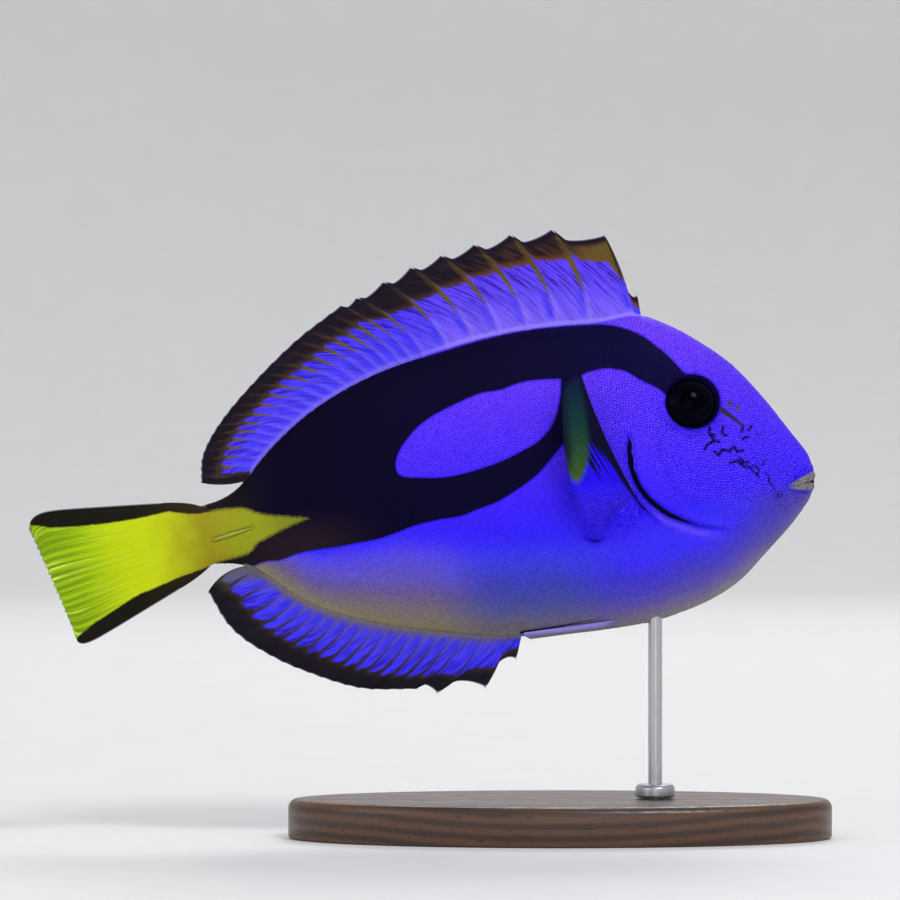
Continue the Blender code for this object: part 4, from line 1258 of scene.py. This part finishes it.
def makeTailMaterial():
    material, shader = newMaterial("yellowTail", *tailFin["finish"])
    spot, fishPlace, reach = vectorField("finPlace"), vectorField("fishPlace"), field("reach")
    back = plus(split(fishPlace)[0], wander(fishPlace, *hide["blotch"]))
    fine = streaked(spot, 2.4, 0.04, 0.42, 0.66)
    light = streaked(spot, 1.2, 0.035, 0.56, 0.68)["Mask"]
    valley = ease(calc("ABSOLUTE", field("rayOff")), 0.15, 0.7, 0.45, 1)
    yellow = layered(
        graded(back, tailFin["warm"], hide["tailBright"], tailFin["green"]),
        (times(fine["Mask"], ease(reach, 0.3, 0.9, 0, 0.75)), tailFin["shade"]),
        (times(light, ease(reach, 0.4, 1, 0, 0.8)), tailFin["pale"]),
        (times(less(1, light), valley, ease(reach, 0.5, 0.95, 0, 0.9)), tailFin["tipShade"]),
    )
    colour = layered(
        tailFin["dark"],
        (light, tailFin["brown"]),
        (ease(back, 156, 144), tailFin["brown"]),
        (frayed("tailEdge", fishPlace, 0.4, 0.45), yellow),
        (ease(field("margin"), 0.3, 0.14), tailFin["rim"]),
    )
    return dress(material, shader, colour, fine["Height"], 0.4, 0.2)


# Paired fins: root back, root up, tip back, tip up, distance of the tip from the flank
pectoralFin = {
    "guides": (
        (40.2, -1.8, 51.2, 29.2, 6.5), (41.8, -3, 55.4, 26.4, 7.5), (43.6, -4.6, 56.7, 17, 6.5),
        (45.6, -6.3, 56.2, 7, 4.6), (47.4, -8, 55.6, -2.4, 3), (48.6, -9.4, 54, -8.6, 2),
    ),
    "rays": 16, "steps": 8, "rows": 72, "bow": 0.03, "standOff": 0.9, "rootHalf": 0.5, "webHalf": 0.13,
    "ridge": 0.15, "rootDepth": (0.2, 2.2), "finish": (0.45, 0.2, (0.3, 0.3, 0.85)),
    "strip": ((56.3, 31.5), (58.2, 24.5), (58.4, 18.9), (58, 13.1), (56.9, 8.5), (55.4, 5.4), (53.9, 4.4),
              (52.5, 6.2), (51.3, 9), (50.7, 13.8), (50.8, 17.2), (50.9, 20.7), (51.3, 24.2), (51.4, 30.5)),
    "black": (5, 5, 30), "blue": (38, 8, 250), "streak": (14, 4, 150), "low": (66, 44, 255),
    # furrow is painted shade in the folds round the fin's root
    "furrow": (18, 0, 205), "scratch": (100, 122, 108), "dusk": (7, 14, 38),
    "green": [(0, (64, 92, 8)), (0.16, (48, 80, 18)), (0.38, (24, 64, 38)), (0.62, (14, 52, 48)),
              (0.84, (8, 34, 52)), (1, (5, 12, 44))],
}
pelvicFin = {
    "guides": (
        (44.6, -27.5, 68.9, -28.6, 0.4), (45, -28.4, 69, -29.3, 0.7), (45.6, -29.3, 67.6, -30.3, 0.9),
    ),
    "rays": 4, "steps": 8, "rows": 72, "bow": 0, "standOff": 0.9, "rootHalf": 0.45, "webHalf": 0.2,
    "ridge": 0.12, "rootDepth": (0.3, 2.2), "finish": (0.45, 0.2),
    # pale is the lavender of the fin's upper part, painted as a highlight along it; edge is the grey of the
    # lower rays
    "pale": (168, 156, 250), "edge": (136, 132, 132), "shade": (112, 96, 204),
}


def buildPairedFin(fin, name, material):
    ray, share = rayGrid(fin)
    guide = along(fin["guides"], ray * (len(fin["guides"]) - 1) / (fin["rays"] - 1))
    root, tip, stand = guide[..., 0:2], guide[..., 2:4], guide[..., 4]
    run = tip - root
    across = np.stack([run[..., 1], -run[..., 0]], -1) * fin["bow"]
    spot = root + run * share[..., None] + across * (4 * share * (1 - share))[..., None]
    rootOut = flankOut(root[..., 0], root[..., 1]) + fin["standOff"]
    surface = flankOut(spot[..., 0], spot[..., 1]) + fin["standOff"] + stand * share ** 1.3
    out = np.maximum(surface, rootOut * (1 - share))
    out = out - smooth(fin["rootDepth"][0], 0, share) * fin["rootDepth"][1]
    off = ray - np.round(ray)
    ridge = fin["ridge"] * bell(np.abs(off) - 0.22 * smooth(0.35, 0.8, share), 0.16) * (1 - 0.6 * share)
    half = mix(fin["webHalf"], fin["rootHalf"], (1 - share) ** 3) + ridge
    length = np.linalg.norm(run, axis=-1)
    fields = {
        "finPlace": np.stack([ray * 1.2, share * length, np.zeros_like(share)], -1),
        "reach": share,
        "ray": ray,
        "margin": (1 - share) * length,
    }
    if "strip" in fin:
        fields["stripEdge"] = outlineField(spot[..., 0], spot[..., 1], fin["strip"])
    for label, side in sides:
        replaced = (f"{name}_fin_{label}",)
        sheetPiece(f"{name}_{label}_web", spot, out, half, fields, material, replaced, side)
    print(name, "fins")


def makePectoralMaterial():
    material, shader = newMaterial("pectoralWeb", *pectoralFin["finish"])
    spot, fishPlace, ray = vectorField("finPlace"), vectorField("fishPlace"), field("ray")
    back, up, _ = split(fishPlace)
    wavy = addNode("ShaderNodeCombineXYZ", {0: wander(spot, 0.5, 2, 1.4)})[0]
    bent = addNode("ShaderNodeVectorMath", {0: spot, 1: wavy}, operation="ADD")[0]
    fine = streaked(bent, 3.6, 0.2, 0.46, 0.6)
    broad = streaked(spot, 1.6, 0.05, 0.46, 0.6)
    ragged = times(less(broad["Height"], 0.5), ease(ray, 1, 4, 20, 56))
    foot = plus(ease(ray, 2, 8, 8, 13), ragged)
    firstRays = ease(plus(ray, ease(up, 4, -2, 0, 0.9)), 1.9, 0.9)
    green = layered(
        ramp(calc("DIVIDE", less(up, 4), 25), pectoralFin["green"]),
        (times(fine["Mask"], ease(up, 18, 9, 0, 0.14)), pectoralFin["scratch"]),
        (times(ease(back, 53.6, 56, 0, 0.9), ease(up, 4, 12)), pectoralFin["dusk"]),
    )
    colour = layered(
        pectoralFin["low"],
        (ease(up, -2, 5), pectoralFin["blue"]),
        (times(fine["Mask"], ease(up, 0, 8, 0, 0.5)), pectoralFin["streak"]),
        # Painted shade in the furrows of the folds round the fin's root
        (times(rippleFurrowShade(fishPlace), ease(up, 4.5, 0, 0, 0.8)), pectoralFin["furrow"]),
        (calc("MAXIMUM", ease(less(up, foot), -1.4, 1.4), firstRays), pectoralFin["black"]),
        (ease(field("stripEdge"), -0.9, 0.9), green),
    )
    atMargin = ease(calc("DIVIDE", field("margin"), ease(up, 5, 0, 1.6, 5.5)), 0, 1)
    atRoot = calc("MAXIMUM", ease(field("reach"), 0.02, 0.3), ease(up, -2.8, -0.8))
    join(times(atMargin, ease(ray, 15, 10.5), atRoot, ease(up, 3, -5, 1, 0.6)), shader["Alpha"])
    return dress(material, shader, colour, fine["Height"], 0.5, 0.2)


def makePelvicMaterial():
    material, shader = newMaterial("pelvicWeb", *pelvicFin["finish"])
    lines = streaked(vectorField("finPlace"), 1.5, 0.06, 0.42, 0.62)
    # The lavender over the fin is a painted highlight along its upper part; the lower rays turn grey
    colour = layered(
        pelvicFin["pale"],
        (times(lines["Mask"], 0.5), pelvicFin["shade"]),
        (ease(field("ray"), 1.5, 2.4), pelvicFin["edge"]),
    )
    join(ease(field("reach"), 0.02, 0.3), shader["Alpha"])
    return dress(material, shader, colour, lines["Height"], 0.4, 0.2)


# The blade folded into its groove on each side of the tail stalk
blade = {
    "spot": (132.7, -0.2), "half": (5, 0.42, 0.38), "tilt": -0.21, "columns": 48, "rows": 64,
    "bone": (178, 182, 66), "root": (144, 148, 30), "roughness": 0.3,
}


def makeBladeMaterial():
    material, shader = newMaterial("paleBlade", blade["roughness"])
    grain = noise(stretched(vectorField("bladePlace"), (1, 7, 7)), 1, 3)
    colour = blend(ease(grain, 0.35, 0.7), blade["root"], blade["bone"])
    return dress(material, shader, colour, grain, 0.3, 0.1)


def buildBlades(material):
    turn, swing = roundGrid(blade["columns"], np.linspace(0, math.pi, blade["rows"]))
    lengthwise = np.cos(swing)
    girth = np.sin(swing) ** 1.5 * (1 - 0.35 * lengthwise)
    shares = (lengthwise, girth * np.cos(turn), girth * np.sin(turn))
    amounts = [share * half for share, half in zip(shares, blade["half"])]
    fields = {"bladePlace": np.stack([lengthwise * 4, np.cos(turn), np.sin(turn)], -1)}
    flankPieces("blade", "caudal_spine", blade["spot"], blade["tilt"], amounts, material, fields)
    print("blades")


# Stand: an oval wooden base, a steel rod and its collar
stand = {
    "length": 124, "width": 58, "height": 9, "edge": 2, "foot": 0.6, "sides": 240, "border": 14,
    "rodX": 21.7, "rodRadius": 1.6, "rodHeights": (3, 30, 56), "rodChamfer": 0.4, "rodSides": 64,
    "collar": ((0, 9.3), (4.5, 9.3), (4.5, 11.6), (3.9, 12.3), (0, 12.3)), "collarSides": 96,
    "darkWood": (58, 36, 23), "lightWood": (88, 57, 36), "pore": (30, 18, 12), "steel": (186, 188, 192),
}


def roundedProfile(points, steps=6, share=0.3):
    made = [np.array(points[0])]
    for before, here, after in np.stack([points[:-2], points[1:-1], points[2:]], axis=1):
        size = share * min(np.linalg.norm(here - before), np.linalg.norm(after - here))
        start, end = here + unit(before - here) * size, here + unit(after - here) * size
        for step in np.linspace(0, 1, steps):
            made.append((1 - step) ** 2 * start + 2 * step * (1 - step) * here + step ** 2 * end)
    return np.array([*made, points[-1]])


def turnedPiece(name, profile, centre, stretch, material, replaced, count):
    turn, number = roundGrid(count, np.arange(len(profile)))
    radius, height = profile[number, 0], profile[number, 1]
    depth = np.where(radius > stretch, radius - stretch, 0) * np.sin(turn)
    world = np.stack([centre + radius * np.cos(turn), depth, height], -1) * mm
    piece = roundPiece(name, world, material, {}, (replaced,))
    piece.data.set_sharp_from_angle(angle=math.radians(50))


def makeWood():
    varnish = (("Coat Weight", 0.25), ("Coat Roughness", 0.25))
    material, shader = newMaterial("darkWalnut", others=varnish)
    spot = addNode("ShaderNodeTexCoord", {})["Object"]
    lowered = addNode("ShaderNodeVectorMath", {0: spot, 1: (0, 0.013, 0.045)}, operation="ADD")[0]
    rippled = stretched(lowered, (9, 120, 120))
    sockets = {"Vector": rippled, "Scale": 1, "Distortion": 3, "Detail": 3}
    rings = addNode("ShaderNodeTexWave", sockets, wave_type="RINGS", rings_direction="X")["Fac"]
    pores = noise(stretched(spot, (180, 2400, 2400)), 1, 2)
    colour = layered(
        stand["darkWood"],
        (ease(rings, 0.1, 0.9), stand["lightWood"]),
        (ease(pores, 0.6, 0.72), stand["pore"]),
    )
    join(ease(pores, 0.4, 0.75, 0.32, 0.6), shader["Roughness"])
    return dress(material, shader, colour, pores, 0.15, 0.1)


def makeSteel():
    material, shader = newMaterial("brushedSteel", others=(("Metallic", 1),))
    brushed = noise(stretched(addNode("ShaderNodeTexCoord", {})["Object"], (3000, 3000, 120)), 1, 3)
    join(ease(brushed, 0.3, 0.7, 0.22, 0.42), shader["Roughness"])
    return dress(material, shader, stand["steel"], brushed, 0.08, 0.1)


def buildStand(wood, steel):
    half, edge, height, foot = 0.5 * stand["length"], stand["edge"], stand["height"], stand["foot"]
    profile = [(0, 0), (half * 0.5, 0), (half - foot, 0), (half, foot)]
    for step in np.linspace(0, 0.5 * math.pi, 9):
        profile.append((half - edge + edge * math.cos(step), height - edge + edge * math.sin(step)))
    border = half - edge - stand["border"]
    profile = np.array([*profile, (border, height), (half * 0.6, height), (0, height)])
    squeeze = half - 0.5 * stand["width"]
    turnedPiece("stand_base_wood", profile, 0, squeeze, wood, "stand_base", stand["sides"])
    radius, (low, middle, top) = stand["rodRadius"], stand["rodHeights"]
    profile = [(0, low), (radius, low), (radius, middle), (radius, top - stand["rodChamfer"]), (0, top)]
    profile = np.array(profile)
    rodX, count = stand["rodX"], stand["rodSides"]
    turnedPiece("stand_rod_steel", profile, rodX, 0, steel, "stand_rod", count)
    profile, count = roundedProfile(stand["collar"]), stand["collarSides"]
    turnedPiece("stand_collar_steel", profile, rodX, 0, steel, "stand_collar", count)
    print("stand")


# Studio: a pale floor that turns up into a wall all round, soft lamps, and the camera
studio = {
    "floorRadius": 1.9, "wallRadius": 2.7, "wallHeight": 1.9, "sides": 96, "curveSteps": 24, "sky": 0.5,
    "floor": (238, 238, 239), "floorFleck": (205, 205, 208),
    "camera": (-0.0251, -1.1, 0.0885), "lens": 192.9, "sensor": 36, "nearest": 0.05, "aim": (-0.02, 0, 0.075),
    "lamps": (
        ("key", (0.7, -1.2, 1.5), 0.6, 14), ("fill", (-1.4, -1.1, 0.7), 1.2, 4),
        ("back", (0.2, 1.4, 1.5), 1, 12), ("front", (0.1, -1.7, 0.35), 0.8, 2),
    ),
}


def makeFloor():
    material, shader = newMaterial("paleFloor", 0.7, 0.2)
    grain = noise(addNode("ShaderNodeTexCoord", {})["Object"], 40, 3)
    join(blend(ease(grain, 0.3, 0.7, 0, 0.05), studio["floor"], studio["floorFleck"]), shader["Base Color"])
    return material


def buildStudio():
    flat, wall = studio["floorRadius"], studio["wallRadius"]
    curve = wall - flat
    profile = [(0, 0), (0.5, 0), (1.2, 0)]
    for step in np.linspace(0, 0.5 * math.pi, studio["curveSteps"]):
        profile.append((flat + curve * math.sin(step), curve - curve * math.cos(step)))
    profile = np.array([*profile, (wall, studio["wallHeight"])])
    turn, number = roundGrid(studio["sides"], np.arange(len(profile)))
    radius, height = profile[number, 0], profile[number, 1]
    points = np.stack([radius * np.cos(turn), radius * np.sin(turn), height], -1)
    faces, _ = gridFaces(*turn.shape, wrap=True)
    floor = addObject("studioFloor", addMesh("studioFloor", points, faces, makeFloor()))
    world = bpy.data.worlds.new("softSky")
    world.use_nodes = True
    sky = world.node_tree.nodes["Background"].inputs
    sky["Color"].default_value = (1, 1, 1, 1)
    sky["Strength"].default_value = studio["sky"]
    bpy.context.scene.world = world
    for name, spot, size, power in studio["lamps"]:
        lamp = bpy.data.lights.new(name, "AREA")
        lamp.shape = "DISK"
        lamp.size = size
        lamp.energy = power
        holder = addObject(name, lamp)
        holder.location = spot
        holder.rotation_euler = (Vector(studio["aim"]) - Vector(spot)).to_track_quat("-Z", "Y").to_euler()
    lens = bpy.data.cameras.new("camera")
    lens.lens = studio["lens"]
    lens.sensor_width = studio["sensor"]
    lens.clip_start = studio["nearest"]
    camera = addObject("camera", lens)
    camera.location = studio["camera"]
    camera.rotation_euler = (math.radians(90), 0, 0)
    bpy.context.scene.camera = camera
    bpy.context.scene.view_settings.view_transform = "Standard"
    bpy.context.scene.view_settings.look = "None"
    print("studio")


def main():
    makeFrayedEdge()
    makeBeadedHide()
    makeRayStreaks()
    makeHidePaint()
    buildSkin(makeHideMaterial("tangSkin", False))
    buildScales(makeHideMaterial("tangScales", True))
    buildEyes(makeEyeMaterial())
    buildLips(makeLipMaterial())
    buildMedianFin(dorsalFin, makeFinMaterial("dorsalWeb", dorsalPaint))
    buildMedianFin(analFin, makeFinMaterial("analWeb", analPaint))
    buildTailFin(makeTailMaterial())
    buildPairedFin(pectoralFin, "pectoral", makePectoralMaterial())
    buildPairedFin(pelvicFin, "pelvic", makePelvicMaterial())
    buildBlades(makeBladeMaterial())
    buildStand(makeWood(), makeSteel())
    buildStudio()


main()
